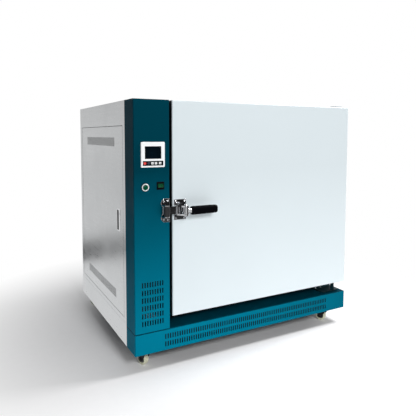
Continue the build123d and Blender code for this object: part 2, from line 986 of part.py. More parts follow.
def latch_bolt():
    """Sliding bolt with a rounded nose and the slot that the lever's finger works in."""
    x0 = column_width - bolt_tip
    x1 = column_width + bolt_tail
    bolt = block(
        x0,
        x1,
        bolt_front,
        -bolt_back,
        latch_z - bolt_height / 2,
        latch_z + bolt_height / 2,
    )
    nose = bolt.faces().sort_by(Axis.X)[0].edges().filter_by(Axis.Z)
    bolt = fillet(nose, bolt_thickness * 0.42)
    slot_right = lever_x + lever_finger / 2 + finger_play
    slot_left = lever_x - lever_finger / 2 - 2 * finger_play
    half = lever_finger + slip
    return bolt - block(
        slot_left, slot_right, bolt_front - 1, -bolt_back + 1, latch_z - half, latch_z + half
    )


def latch_lever():
    """Cast lever: bored hub, finger to the bolt, tapered neck and the tang inside the grip."""
    hub = rod(
        (lever_x, lever_y, latch_z - lever_hub_height / 2),
        (lever_x, lever_y, latch_z + lever_hub_height / 2),
        lever_hub_radius,
    )
    hub = fillet(hub.edges(), 1.5)
    finger = block(
        lever_x - lever_finger / 2,
        lever_x + lever_finger / 2,
        lever_y,
        -bolt_back - slip - 2,
        latch_z - lever_finger,
        latch_z + lever_finger,
    )
    grip_x = door_left + grip_start
    grip_y = lever_y - grip_lead
    neck = loft(
        [
            Plane(origin=(lever_x + 2, lever_y - 2, latch_z), x_dir=BACK, z_dir=RIGHT)
            * RectangleRounded(15, lever_hub_height - 5, 4),
            Plane(origin=(grip_x + 0.1, grip_y, latch_z), x_dir=BACK, z_dir=RIGHT)
            * RectangleRounded(tang_thickness + 3, tang_height + 5, 4),
        ]
    )
    tang = block(
        grip_x,
        grip_x + grip_length - 12,
        grip_y - tang_thickness / 2,
        grip_y + tang_thickness / 2,
        latch_z - tang_height / 2,
        latch_z + tang_height / 2,
    )
    bore = rod(
        (lever_x, lever_y, latch_z - lever_hub_height),
        (lever_x, lever_y, latch_z + lever_hub_height),
        latch_pin_radius + running_clearance,
    )
    return hub + finger + neck + tang - bore


def latch_grip():
    """Rubber grip on the lever: swelling in the middle, with a rounded end."""
    grip_x = door_left + grip_start + 0.2
    grip_y = lever_y - grip_lead
    stations = ((0.0, 0.93), (0.05, 1.0), (0.5, 1.0), (0.93, 0.96), (0.985, 0.86), (1.0, 0.7))
    sections = [
        Plane(origin=(grip_x + share * (grip_length - 0.2), grip_y, latch_z), x_dir=BACK, z_dir=RIGHT)
        * RectangleRounded(grip_thickness * swell, grip_height * swell, grip_thickness * swell * 0.42)
        for share, swell in stations
    ]
    grip = loft(sections, ruled=True)
    tang = block(
        grip_x - 1,
        grip_x - 0.2 + grip_length - 12,
        grip_y - tang_thickness / 2,
        grip_y + tang_thickness / 2,
        latch_z - tang_height / 2,
        latch_z + tang_height / 2,
    )
    return grip - tang


def strike_bracket():
    """Chromed strike on the column: rounded screw plate with two ears, and the roller's pin."""
    x1 = column_width
    x0 = x1 - strike_width
    outline = Pos((x0 + strike_waist + x1) / 2, latch_z) * Rectangle(
        strike_width - strike_waist, strike_height - 2 * strike_lobe_radius
    )
    lobe_z = strike_height / 2 - strike_lobe_radius
    for z in (latch_z - lobe_z, latch_z + lobe_z):
        outline += Pos(x0 + strike_lobe_radius, z) * Circle(strike_lobe_radius)
        outline += Pos(x1 - strike_lobe_radius / 2, z) * Rectangle(
            strike_lobe_radius, 2 * strike_lobe_radius
        )
    plate = extrude(front_plane(-strike_plate) * outline, amount=strike_plate, dir=BACK)
    plate = fillet(plate.faces().sort_by(Axis.Y)[0].edges(), strike_plate * 0.4)
    ear_radius = roller_radius - 2
    plan = hull(
        Pos(roller_x, roller_y) * Circle(ear_radius),
        Pos(roller_x, -strike_plate) * Rectangle(2 * roller_radius + 4, 1),
    )
    for z in (
        latch_z + strike_ear_gap / 2,
        latch_z - strike_ear_gap / 2 - strike_ear,
    ):
        plate += extrude(level_plane(z) * plan, amount=strike_ear)
    reach = strike_ear_gap / 2 + strike_ear
    pin = rod(
        (roller_x, roller_y, latch_z - reach), (roller_x, roller_y, latch_z + reach), roller_pin_radius
    )
    return [plate - pin, pin]


def strike_roller():
    """Nylon roller that the bolt draws up against."""
    half = roller_height / 2
    bore = roller_pin_radius + running_clearance
    return turned(
        [
            (bore, half),
            (roller_radius - 1.5, half),
            (roller_radius, half - 1.5),
            (roller_radius, -half + 1.5),
            (roller_radius - 1.5, -half),
            (bore, -half),
        ],
        (roller_x, roller_y, latch_z),
        UP,
    )


# ---------------------------------------------------------------- casing
def side_frame():
    """Left side of the casing, folded round the access opening and along its free edges."""
    plate = block(0, sheet, body_front, cabinet_depth, base_z, top_z)
    opening = block(-1, access_flange + 1, access_front, access_rear, access_bottom, access_top)
    collar = block(
        0,
        access_flange,
        access_front - sheet,
        access_rear + sheet,
        access_bottom - sheet,
        access_top + sheet,
    )
    frame = plate + collar - opening
    frame += block(0, flange, body_front, body_front + sheet, deck_z, inner_top)
    frame += block(0, flange, body_front, rear_inner, base_z, base_z + sheet)
    seam_z = base_z + skirt_seam_rise
    frame -= block(-1, sheet / 2, body_front - 1, cabinet_depth + 1, seam_z, seam_z + seam_width)
    return frame - access_pins(access_pin_radius + running_clearance)


def access_pins(radius):
    """Upper and lower pivot pins of the access door."""
    pins = []
    for edge, sign in ((access_bottom, -1), (access_top, 1)):
        pins.append(
            rod(
                (access_pivot_x, access_pivot_y, edge + sign * (sheet + 2)),
                (access_pivot_x, access_pivot_y, edge - sign * access_pin_length),
                radius,
            )
        )
    return pins


def side_door():
    """Ventilated access door: shallow pan with two punched grilles and the lock cut-out."""
    y0 = access_front + access_gap
    y1 = access_rear - access_hinge_gap
    z0 = access_bottom + access_gap
    z1 = access_top - access_gap
    outer = block(0, access_pan, y0, y1, z0, z1)
    hollow = block(
        door_sheet,
        access_pan + 1,
        y0 + door_sheet,
        y1 - door_sheet,
        z0 + door_sheet,
        z1 - door_sheet,
    )
    door = outer - hollow
    # Folded ears that hold the pivot pins.
    reach = access_pivot_inset + 3 * access_pin_radius
    for low, high in ((z0, z0 + door_sheet * 2), (z1 - door_sheet * 2, z1)):
        door += block(0, access_pan, y1 - reach, y1, low, high)
    door -= access_pins(access_pin_radius)
    span = y1 - y0 - 2 * grille_inset
    count = int(span // grille_slot_pitch) + 1
    for z in (z1 - grille_edge, z0 + grille_edge):
        door -= slot_field(
            side_plane(-1),
            ((y0 + y1) / 2, z),
            (grille_slot_pitch, 1),
            (count, 1),
            (grille_slot_width, grille_slot_height),
            door_sheet + 2,
            RIGHT,
        )
    cut = Pos(lock_y, lock_z) * Rectangle(lock_width - 2 * lock_rim, lock_height - 2 * lock_rim)
    return door - extrude(side_plane(-1) * cut, amount=door_sheet + 2, dir=RIGHT)


def lock_cup():
    """Flush lock case with a raised rim, a finger recess and the key barrel's bore."""
    rim = Pos(lock_y, lock_z) * RectangleRounded(lock_width, lock_height, 5)
    plate = extrude(side_plane(-lock_proud) * rim, amount=lock_proud, dir=RIGHT)
    plate = chamfer(plate.faces().sort_by(Axis.X)[0].edges(), 0.6)
    body = Pos(lock_y, lock_z) * Rectangle(
        lock_width - 2 * lock_rim - 2 * slip, lock_height - 2 * lock_rim - 2 * slip
    )
    cup = plate + extrude(side_plane(0) * body, amount=lock_depth, dir=RIGHT)
    recess = Pos(lock_y + lock_recess_offset, lock_z) * RectangleRounded(
        lock_recess_width, lock_height - 4 * lock_rim, 4
    )
    cup -= extrude(side_plane(-lock_proud - 1) * recess, amount=lock_depth, dir=RIGHT)
    bore = rod(
        (-lock_proud - 1, key_barrel_y, key_barrel_z),
        (lock_depth + 1, key_barrel_y, key_barrel_z),
        key_barrel_radius + running_clearance,
    )
    return cup - bore


def lock_cylinder():
    """Key barrel with its keyway and the cam that turns behind the side frame."""
    end = lock_depth + 4
    y = key_barrel_y
    barrel = rod((-lock_proud, y, key_barrel_z), (end, y, key_barrel_z), key_barrel_radius)
    barrel -= block(-lock_proud - 1, 3, y - 0.8, y + 0.8, key_barrel_z - 4, key_barrel_z + 4)
    plan = hull(
        Pos(y, key_barrel_z) * Circle(cam_width / 2),
        Pos(y, key_barrel_z + cam_reach - cam_width / 4) * Circle(cam_width / 4),
    )
    cam = extrude(side_plane(end) * plan, amount=cam_thickness, dir=RIGHT)
    return barrel + cam


def right_panel():
    """Right side of the casing with a folded foot."""
    panel = block(right_inner, cabinet_width, body_front, cabinet_depth, base_z, top_z)
    seam_z = base_z + skirt_seam_rise
    panel -= block(
        cabinet_width - sheet / 2,
        cabinet_width + 1,
        body_front - 1,
        cabinet_depth + 1,
        seam_z,
        seam_z + seam_width,
    )
    foot = block(cabinet_width - flange, cabinet_width, body_front, rear_inner, base_z, base_z + sheet)
    return panel + foot


def top_panel():
    """Removable roof of the casing behind the front frame's header."""
    return block(sheet, right_inner, roof_front, cabinet_depth, inner_top, top_z)


def rear_panel():
    """Back of the casing with the exhaust and cable openings and a pressed-out stiffening field."""
    panel = block(sheet, right_inner, rear_inner, cabinet_depth, base_z, inner_top)
    place = Pos((field_left + field_right) / 2, base_z + (field_bottom + field_top) / 2)
    width = field_right - field_left
    height = field_top - field_bottom
    for y, inset in ((cabinet_depth, 0), (rear_inner, sheet)):
        field = place * RectangleRounded(width - 2 * inset, height - 2 * inset, field_corner)
        pressing = extrude(front_plane(y) * field, amount=sheet, dir=BACK)
        panel = panel - pressing if inset else panel + pressing
    holes = Pos(exhaust_x, exhaust_z) * Circle(exhaust_radius + slip)
    holes += Pos(gland_x, gland_z) * Circle(gland_thread_radius + slip)
    return panel - extrude(front_plane(rear_inner - 1) * holes, amount=sheet + 2, dir=BACK)


def front_frame():
    """Face of the insulated body round the chamber mouth, with its header and folded foot."""
    width = right_inner - partition_x
    height = inner_top - deck_z
    outline = Pos(partition_x + width / 2, deck_z + height / 2) * Rectangle(width, height)
    mouth = Pos(mouth_x, mouth_z) * RectangleRounded(chamber_width, chamber_height, liner_corner)
    face = extrude(front_plane(body_front) * (outline - mouth), amount=sheet, dir=BACK)
    y1 = body_inner_front + flange
    face += block(sheet, right_inner, body_front, roof_front, inner_top, top_z)
    face += block(partition_inner, right_inner, body_front, y1, floor_z, floor_z + sheet)
    return face


def partition_panel():
    """Folded inner casing: the wall beside the electrical bay and the floor under the insulation."""
    wall = block(partition_x, partition_inner, body_inner_front, rear_inner, deck_z, inner_top)
    floor = block(partition_x, right_inner, body_inner_front, rear_inner, deck_z, floor_z)
    return wall + floor - wall_passes(pass_clearance)


# ---------------------------------------------------------------- chamber
def heater_places():
    """Height of each heater loop's lower leg."""
    return (fan_z - heater_offset - heater_height, fan_z + heater_offset)


def wall_passes(clearance):
    """Holes through the left wall for the fan shaft, the heater ends and the probe."""
    x0 = partition_x - 2
    x1 = chamber_left + 2
    holes = [((fan_y, fan_z), shaft_radius)]
    for z in heater_places():
        for leg in (z, z + heater_height):
            holes.append(((fan_y - heater_run / 2, leg), heater_radius))
    holes.append(((probe_y, base_z + probe_rise), probe_radius))
    return [rod((x0, y, z), (x1, y, z), radius + clearance) for (y, z), radius in holes]


def exhaust_pass(radius):
    """Round way from the chamber to the back."""
    return rod((exhaust_x, chamber_rear - 2, exhaust_z), (exhaust_x, rear_reach, exhaust_z), radius)


def chamber_insulation():
    """Mineral wool slabs round the chamber liner."""
    y0 = body_inner_front + flange + 1
    y1 = rear_inner
    left = block(partition_inner, liner_left, y0, y1, floor_z + sheet, inner_top - sheet)
    right = block(liner_right, right_inner, y0, y1, floor_z + sheet, inner_top - sheet)
    top = block(liner_left, liner_right, y0, y1, liner_top, inner_top - sheet)
    bottom = block(liner_left, liner_right, y0, y1, floor_z + sheet, liner_bottom)
    rear = block(liner_left, liner_right, liner_rear, y1, liner_bottom, liner_top)
    rear -= exhaust_pass(exhaust_radius + pass_clearance)
    return [left - wall_passes(pass_clearance), right, top, bottom, rear]


def chamber_liner():
    """Stainless inner chamber with coved corners and a flange behind the body's face."""
    outer = block(liner_left, liner_right, body_inner_front, liner_rear, liner_bottom, liner_top)
    inner = block(
        chamber_left, chamber_right, body_inner_front - 1, chamber_rear, chamber_bottom, chamber_top
    )
    cove = liner_corner + liner_wall
    shells = []
    for body, radius in ((outer, cove), (inner, liner_corner)):
        body = fillet(body.edges().filter_by(Axis.Y), radius)
        shells.append(fillet(body.faces().sort_by(Axis.Y)[-1].edges(), radius * 0.9))
    liner = shells[0] - shells[1]
    liner += ring_plate(
        front_plane(body_inner_front),
        (chamber_width + flange, chamber_height + flange),
        (chamber_width, chamber_height),
        (mouth_x, mouth_z),
        liner_wall,
        BACK,
        cove,
        liner_corner,
    )
    return liner - wall_passes(pass_clearance) - exhaust_pass(exhaust_radius - exhaust_wall)


def duct_plate():
    """Folded air duct on the left wall with outlet slots and the fan's inlet."""
    y0 = body_inner_front + duct_margin_front
    y1 = chamber_rear - duct_margin_rear
    z0 = chamber_bottom + duct_margin_height
    z1 = chamber_top - duct_margin_height
    outer = block(chamber_left, duct_x, y0, y1, z0, z1)
    outer = fillet(outer.faces().sort_by(Axis.X)[-1].edges().filter_by(Axis.Z), bend)
    inner = block(chamber_left - 1, duct_x - liner_wall, y0 + liner_wall, y1 - liner_wall, z0 - 1, z1 + 1)
    duct = outer - inner
    duct -= rod((duct_x - 5, fan_y, fan_z), (duct_x + 5, fan_y, fan_z), duct_inlet_radius)
    pitch_y = (y1 - y0 - 2 * upright_inset) / duct_slot_columns
    pitch_z = duct_slot_width * 3.4
    field = (duct_slot_rows - 1) * pitch_z / 2
    for z in (z0 + field + 30, z1 - field - 30):
        duct -= slot_field(
            side_plane(duct_x - 5),
            ((y0 + y1) / 2, z),
            (pitch_y, pitch_z),
            (duct_slot_columns, duct_slot_rows),
            (duct_slot_length, duct_slot_width),
            10,
            RIGHT,
        )
    return duct


def shelf_heights():
    """Underside of each shelf's frame."""
    return [chamber_bottom + share * chamber_height for share in shelf_levels]


def shelf_racks():
    """Slotted uprights and the angle runners hooked on them, left and right."""
    z0 = chamber_bottom + duct_margin_height
    z1 = chamber_top - duct_margin_height
    y_front = body_inner_front + duct_margin_front + upright_inset
    y_rear = chamber_rear - duct_margin_rear - upright_inset
    solids = []
    sides = ((duct_x, 1), (chamber_right, -1))
    for x, inward in sides:
        for y in (y_front, y_rear):
            section = Rectangle(upright_depth, upright_width)
            hollow = Pos(-inward * runner_sheet, 0) * Rectangle(
                upright_depth, upright_width - 2 * runner_sheet
            )
            middle = x + inward * upright_depth / 2
            solids.append(
                extrude(level_plane(z0) * (Pos(middle, y) * (section - hollow)), amount=z1 - z0)
            )
        face = x + inward * upright_depth
        for z in shelf_heights():
            ledge = [
                (face, z),
                (face + inward * runner_width, z),
                (face + inward * runner_width, z - runner_sheet),
                (face + inward * runner_sheet, z - runner_sheet),
                (face + inward * runner_sheet, z - runner_width),
                (face, z - runner_width),
            ]
            start = y_front - upright_width
            angle = make_face(front_plane(start) * Polyline(*ledge, close=True))
            solids.append(extrude(angle, amount=y_rear - y_front + 2 * upright_width, dir=BACK))
    return solids


def shelf(z):
    """Wire shelf: rod frame with cross wires welded on top."""
    x0 = duct_x + upright_depth + shelf_side_gap + shelf_rod
    x1 = chamber_right - upright_depth - shelf_side_gap - shelf_rod
    y0 = body_front + plug_depth + shelf_front_gap - (body_front - door_thickness)
    y1 = chamber_rear - duct_margin_rear - upright_inset + upright_width
    middle = z + slip + shelf_rod
    corners = [(x0, y0, middle), (x1, y0, middle), (x1, y1, middle), (x0, y1, middle)]
    loop = FilletPolyline(*corners, radius=4 * shelf_rod, close=True)
    start = Plane(origin=loop @ 0, z_dir=loop % 0)
    frame = sweep(start * Circle(shelf_rod), path=loop)
    pitch = (x1 - x0) / (shelf_wires + 1)
    wire_z = middle + shelf_rod
    for i in range(shelf_wires):
        x = x0 + (i + 1) * pitch
        frame += rod((x, y0 - shelf_rod / 2, wire_z), (x, y1 + shelf_rod / 2, wire_z), shelf_wire)
    return frame


# ---------------------------------------------------------------- air circulation, heat and sensing
def polar(radius, degrees):
    """Point of the fan's plan at a radius and an angle."""
    angle = math.radians(degrees)
    return (radius * math.cos(angle), radius * math.sin(angle))


def fan_impeller():
    """Backward-curved centrifugal wheel on its shaft."""
    inner, middle, outer = fan_eye_radius, (fan_eye_radius + fan_radius) / 2, fan_radius
    sweep_angles = (0, -9, -24)
    radii = (inner, middle, outer)
    leading = [polar(r, a) for r, a in zip(radii, sweep_angles)]
    trailing = [polar(r, a + math.degrees(fan_plate / r)) for r, a in zip(radii, sweep_angles)]
    blade = make_face(
        [
            ThreePointArc(*leading),
            Line(leading[2], trailing[2]),
            ThreePointArc(*reversed(trailing)),
            Line(trailing[0], leading[0]),
        ]
    )
    blades = Sketch() + [place * blade for place in PolarLocations(0, fan_blades)]
    wheel = turned(
        [
            (0, 0),
            (outer, 0),
            (outer, fan_plate),
            (fan_hub_radius + 6, fan_plate),
            (fan_hub_radius, fan_plate + 8),
            (fan_hub_radius, fan_blade_height * 0.7),
            (0, fan_blade_height * 0.7),
        ],
        (0, 0, 0),
        UP,
    )
    wheel += extrude(level_plane(fan_plate) * blades, amount=fan_blade_height - fan_plate)
    wheel += turned(
        [
            (inner + 2, fan_blade_height),
            (outer, fan_blade_height - fan_plate),
            (outer, fan_blade_height),
            (inner + 2, fan_blade_height + fan_plate),
        ],
        (0, 0, 0),
        UP,
    )
    wheel = Plane(origin=(chamber_left + fan_wall_gap, fan_y, fan_z), x_dir=BACK, z_dir=RIGHT) * wheel
    shaft_end = partition_x - motor_standoff - motor_length + 10
    shaft = rod((shaft_end, fan_y, fan_z), (chamber_left + fan_wall_gap, fan_y, fan_z), shaft_radius)
    return wheel + shaft


def fan_motor():
    """Fan motor in the electrical bay: ribbed end bells, drum and four feet on stand-offs."""
    x1 = partition_x - motor_standoff
    x0 = x1 - motor_length
    bore = shaft_radius + running_clearance
    drum = turned(
        [
            (bore, motor_length),
            (motor_radius * 0.45, motor_length),
            (motor_radius * 0.5, motor_length - 6),
            (motor_radius * 0.9, motor_length - 9),
            (motor_radius, motor_length - 16),
            (motor_radius, 14),
            (motor_radius * 0.88, 6),
            (motor_radius * 0.4, 3),
            (motor_radius * 0.35, 0),
            (bore, 0),
        ],
        (x0, fan_y, fan_z),
        RIGHT,
    )
    plate_size = motor_radius * 2 + 16
    foot = Pos(fan_y, fan_z) * (RectangleRounded(plate_size, plate_size, 10) - Circle(motor_radius * 0.6))
    drum += extrude(side_plane(x1 - 12) * foot, amount=4, dir=RIGHT)
    offset = plate_size / 2 - 9
    for i in (-1, 1):
        for j in (-1, 1):
            drum += rod(
                (x1 - 8, fan_y + i * offset, fan_z + j * offset),
                (partition_x, fan_y + i * offset, fan_z + j * offset),
                5,
            )
    return drum


def heater_elements():
    """Two sheathed heater loops in the duct, their ends through the left wall."""
    x0 = partition_x - 18
    x1 = chamber_left + duct_depth * 0.55
    y0 = fan_y - heater_run / 2
    y1 = fan_y + heater_run / 2
    loops = []
    for z in heater_places():
        top = z + heater_height
        route = FilletPolyline(
            (x0, y0, z), (x1, y0, z), (x1, y1, z), (x1, y1, top), (x1, y0, top), (x0, y0, top),
            radius=heater_bend,
        )
        start = Plane(origin=route @ 0, z_dir=route % 0)
        loop = sweep(start * Circle(heater_radius), path=route)
        for end in (z, top):
            collar = heater_radius + 4
            loop += rod((partition_x - 6, y0, end), (partition_x, y0, end), collar)
        loops.append(loop)
    return loops


def temperature_probe():
    """Sheathed sensor through the left wall, with its gland on the bay side."""
    z = base_z + probe_rise
    probe = rod((partition_x - 30, probe_y, z), (chamber_left + probe_reach, probe_y, z), probe_radius)
    return probe + rod((partition_x - 12, probe_y, z), (partition_x, probe_y, z), probe_radius + 4)


def power_relay():
    """Heater contactor: stepped housing with its two terminal shelves."""
    z = base_z + relay_rise
    x1 = partition_x
    profile = Polyline(
        (x1, z - relay_height / 2),
        (x1, z + relay_height / 2),
        (x1 - relay_depth * 0.45, z + relay_height / 2),
        (x1 - relay_depth * 0.45, z + relay_height * 0.28),
        (x1 - relay_depth, z + relay_height * 0.28),
        (x1 - relay_depth, z - relay_height * 0.28),
        (x1 - relay_depth * 0.45, z - relay_height * 0.28),
        (x1 - relay_depth * 0.45, z - relay_height / 2),
        close=True,
    )
    body = extrude(
        make_face(front_plane(relay_y - relay_width / 2) * profile), amount=relay_width, dir=BACK
    )
    return fillet(body.edges().filter_by(Axis.Z).sort_by(Axis.X)[:2], 2)


def terminal_block():
    """Row of screw terminals on a top-hat rail."""
    z = base_z + terminal_rise
    length = terminal_pitch * terminal_count
    y0 = terminal_y - length / 2
    x1 = partition_x
    rail = block(x1 - 7.5, x1, y0 - 15, y0 + length + 15, z - 17.5, z + 17.5)
    rail -= block(x1 - 6.2, x1 + 1, y0 - 16, y0 + length + 16, z - 12, z + 12)
    profile = Polyline(
        (x1 - 7.5, z - 22), (x1 - 7.5, z + 22), (x1 - 22, z + 22), (x1 - 30, z + 10),
        (x1 - 44, z + 10), (x1 - 44, z - 10), (x1 - 30, z - 10), (x1 - 22, z - 22), close=True,
    )
    blocks = [rail]
    for i in range(terminal_count):
        start = y0 + i * terminal_pitch + slip
        unit = make_face(front_plane(start) * profile)
        blocks.append(extrude(unit, amount=terminal_pitch - 2 * slip, dir=BACK))
    return blocks


# ---------------------------------------------------------------- rear services
def exhaust_spigot():
    """Exhaust tube from the chamber wall to the back, with its screw flange and shaft collar."""
    inner = exhaust_radius - exhaust_wall
    start = liner_rear - rear_inner
    tube = turned(
        [
            (inner, start),
            (exhaust_radius, start),
            (exhaust_radius, sheet),
            (exhaust_flange_radius, sheet),
            (exhaust_flange_radius, sheet + exhaust_flange - 1),
            (exhaust_flange_radius - 1, sheet + exhaust_flange),
            (exhaust_collar_radius, sheet + exhaust_flange),
            (exhaust_collar_radius, sheet + collar_rise),
            (exhaust_radius, sheet + collar_rise),
            (exhaust_radius, sheet + exhaust_length),
            (inner, sheet + exhaust_length),
        ],
        (exhaust_x, rear_inner, exhaust_z),
        BACK,
    )
    y = cabinet_depth + damper_rise
    reach = exhaust_collar_radius + 1
    tube -= rod(
        (exhaust_x - reach, y, exhaust_z),
        (exhaust_x + reach, y, exhaust_z),
        damper_shaft_radius + running_clearance,
    )
    holes = Sketch()
    for place in PolarLocations((exhaust_radius + exhaust_flange_radius) / 2, 4, start_angle=45):
        holes += Pos(exhaust_x, exhaust_z) * place * Circle(2.2)
    return tube - extrude(front_plane(cabinet_depth - 1) * holes, amount=exhaust_flange + 2, dir=BACK)


def exhaust_damper():
    """Butterfly plate on a cross shaft with a side knob, resting shut."""
    y = cabinet_depth + damper_rise
    radius = exhaust_radius - exhaust_wall - damper_gap
    plate = rod(
        (exhaust_x, y - damper_plate / 2, exhaust_z), (exhaust_x, y + damper_plate / 2, exhaust_z), radius
    )
    knob_x = exhaust_x + exhaust_collar_radius + damper_gap
    shaft_end = exhaust_x - exhaust_radius
    shaft = rod((shaft_end, y, exhaust_z), (knob_x, y, exhaust_z), damper_shaft_radius)
    knob = turned(
        [
            (0, 0),
            (damper_knob_radius * 0.6, 0),
            (damper_knob_radius, 3),
            (damper_knob_radius, damper_knob_length - 2),
            (damper_knob_radius - 2, damper_knob_length),
            (0, damper_knob_length),
        ],
        (knob_x, y, exhaust_z),
        RIGHT,
    )
    return plate + shaft + knob


def cable_gland():
    """Cable inlet: threaded body through the back, hexagon and domed clamping nut."""
    start = rear_inner - gland_tail
    body = turned(
        [
            (gland_bore, start),
            (gland_thread_radius, start),
            (gland_thread_radius, cabinet_depth),
            (gland_hex / 2 + 1, cabinet_depth),
            (gland_hex / 2 + 1, cabinet_depth + 2),
            (gland_thread_radius, cabinet_depth + 2),
            (gland_thread_radius, cabinet_depth + gland_length - 5),
            (gland_bore + 1.5, cabinet_depth + gland_length),
            (gland_bore, cabinet_depth + gland_length),
        ],
        (gland_x, 0, gland_z),
        BACK,
    )
    hexagon = RegularPolygon(gland_hex / 2, 6, major_radius=False) - Circle(gland_thread_radius - 0.5)
    y = cabinet_depth + 2
    body += extrude(front_plane(y) * (Pos(gland_x, gland_z) * hexagon), amount=gland_length * 0.4, dir=BACK)
    return body


# ---------------------------------------------------------------- all pieces by node name
def build_pieces():
    """Every node's solids, by name."""
    pieces = {
        "base_frame": base_frame(),
        "caster_plates": [caster_plate_at(x, y) for x, y in caster_places().values()],
        "plinth_cover": plinth_cover(),
        "column_cover": column_cover(),
        "side_frame": side_frame(),
        "right_panel": right_panel(),
        "top_panel": top_panel(),
        "rear_panel": rear_panel(),
        "front_frame": front_frame(),
        "partition_panel": partition_panel(),
        "chamber_insulation": chamber_insulation(),
        "chamber_liner": chamber_liner(),
        "duct_plate": duct_plate(),
        "shelf_racks": shelf_racks(),
        "fan_impeller": fan_impeller(),
        "fan_motor": fan_motor(),
        "heater_elements": heater_elements(),
        "temperature_probe": temperature_probe(),
        "power_relay": power_relay(),
        "terminal_block": terminal_block(),
        "controller_housing": controller_housing(),
        "controller_fascia": controller_fascia(),
        "pushbutton_ring": pushbutton_ring(),
        "pushbutton_cap": pushbutton_cap(),
        "switch_bezel": switch_bezel(),
        "switch_rocker": switch_rocker(),
        "door_skin": door_skin(),
        "door_hinge_blocks": door_hinge_blocks(),
        "door_insulation": door_insulation(),
        "door_liner": door_liner(),
        "door_gasket": door_gasket(),
        "door_hinge_brackets": door_hinge_brackets() + door_hinge_pins(),
        "latch_body": latch_body(),
        "latch_bolt": latch_bolt(),
        "latch_lever": latch_lever(),
        "latch_grip": latch_grip(),
        "strike_bracket": strike_bracket(),
        "strike_roller": strike_roller(),
        "side_door": side_door(),
        "side_door_pins": access_pins(access_pin_radius),
        "lock_cup": lock_cup(),
        "lock_cylinder": lock_cylinder(),
        "exhaust_spigot": exhaust_spigot(),
        "exhaust_damper": exhaust_damper(),
        "cable_gland": cable_gland(),
    }
    for name, (x, z) in key_places().items():
        pieces[f"key_{name}"] = key(x, z)
    for number, z in enumerate(shelf_heights(), 1):
        pieces[f"shelf_{number}"] = shelf(z)
    for corner, (x, y) in caster_places().items():
        yaw = caster_yaws[corner]
        pieces[f"caster_fork_{corner}"] = caster_fork(x, y, yaw)
        pieces[f"caster_wheel_{corner}"] = caster_wheel(x, y, yaw)
    return pieces


os.makedirs("parts", exist_ok=True)
to_origin = Pos(-cabinet_width / 2, -origin_y, 0)
for node, piece in build_pieces().items():
    solids = piece if isinstance(piece, list) else [piece]
    placed = [to_origin * solid for shape in solids for solid in shape.solids()]
    export_step(placed[0] if len(placed) == 1 else Compound(children=placed), f"parts/{node}.step")
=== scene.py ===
"""Finishes, small fasteners, studio and camera of a laboratory drying oven."""

import json
import logging
import math
from dataclasses import dataclass, field, replace
from enum import Enum

import bmesh
import bpy
from mathutils import Matrix, Vector


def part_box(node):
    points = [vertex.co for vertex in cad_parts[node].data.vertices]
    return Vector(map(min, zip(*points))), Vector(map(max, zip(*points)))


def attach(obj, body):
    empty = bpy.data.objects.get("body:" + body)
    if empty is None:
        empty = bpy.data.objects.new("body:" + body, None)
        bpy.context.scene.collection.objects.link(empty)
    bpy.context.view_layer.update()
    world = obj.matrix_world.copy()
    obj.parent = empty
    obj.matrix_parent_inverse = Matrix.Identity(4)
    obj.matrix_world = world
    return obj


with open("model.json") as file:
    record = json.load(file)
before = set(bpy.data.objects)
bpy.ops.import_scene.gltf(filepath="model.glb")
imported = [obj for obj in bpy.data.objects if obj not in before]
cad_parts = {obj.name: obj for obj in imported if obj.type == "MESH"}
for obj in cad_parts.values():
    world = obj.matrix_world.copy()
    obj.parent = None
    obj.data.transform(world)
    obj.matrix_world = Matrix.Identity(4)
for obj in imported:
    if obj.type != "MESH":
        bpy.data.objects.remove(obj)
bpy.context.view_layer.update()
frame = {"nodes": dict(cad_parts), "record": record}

Pair = tuple[float, float]
Triple = tuple[float, float, float]
Socket = bpy.types.NodeSocket

LOG = logging.getLogger("oven")
MM = 0.001

# Part of a noise pattern's values that is stretched to its full reach.
SOFT = (0.3, 0.7)
CRISP = (0.35, 0.65)

# Height of the relief that a bump gives.
FINE_RELIEF = 0.2 * MM
BRUSH_RELIEF = 0.1 * MM
FIBRE_RELIEF = 2 * MM

# Cosine between the true and the rounded normal on a flat and on a sharp corner.
EDGE_DOTS = (0.97, 0.8)
# Upward part of the normal where a face starts to count as level, and where it is level.
LEVEL_DOTS = (0.7, 0.95)
# Sockets of the Mix node when it mixes colours.
MIX_FIRST, MIX_SECOND, MIX_RESULT = 6, 7, 2

BLACK = (0.0, 0.0, 0.0)
DEEP_SHADE = (0.006, 0.006, 0.007)
# How far a patch reaches past the piece that it covers.
MARGIN = 1 * MM


class Grain(Enum):
    """Direction in which sheet metal is brushed."""

    ALONG_X = (0.02, 1.0, 1.0)
    ALONG_Y = (1.0, 0.02, 1.0)


def scaled(colour: Triple, share: float) -> Triple:
    """Gives a colour with each channel multiplied by a share."""
    return tuple(channel * share for channel in colour)


def lightened(colour: Triple, share: float) -> Triple:
    """Gives a colour moved towards white by a share."""
    return tuple(channel + (1 - channel) * share for channel in colour)


def around(value: float, below: float, above: float) -> Pair:
    """Gives the range from a little below a value to a little above it."""
    return value - below, value + above


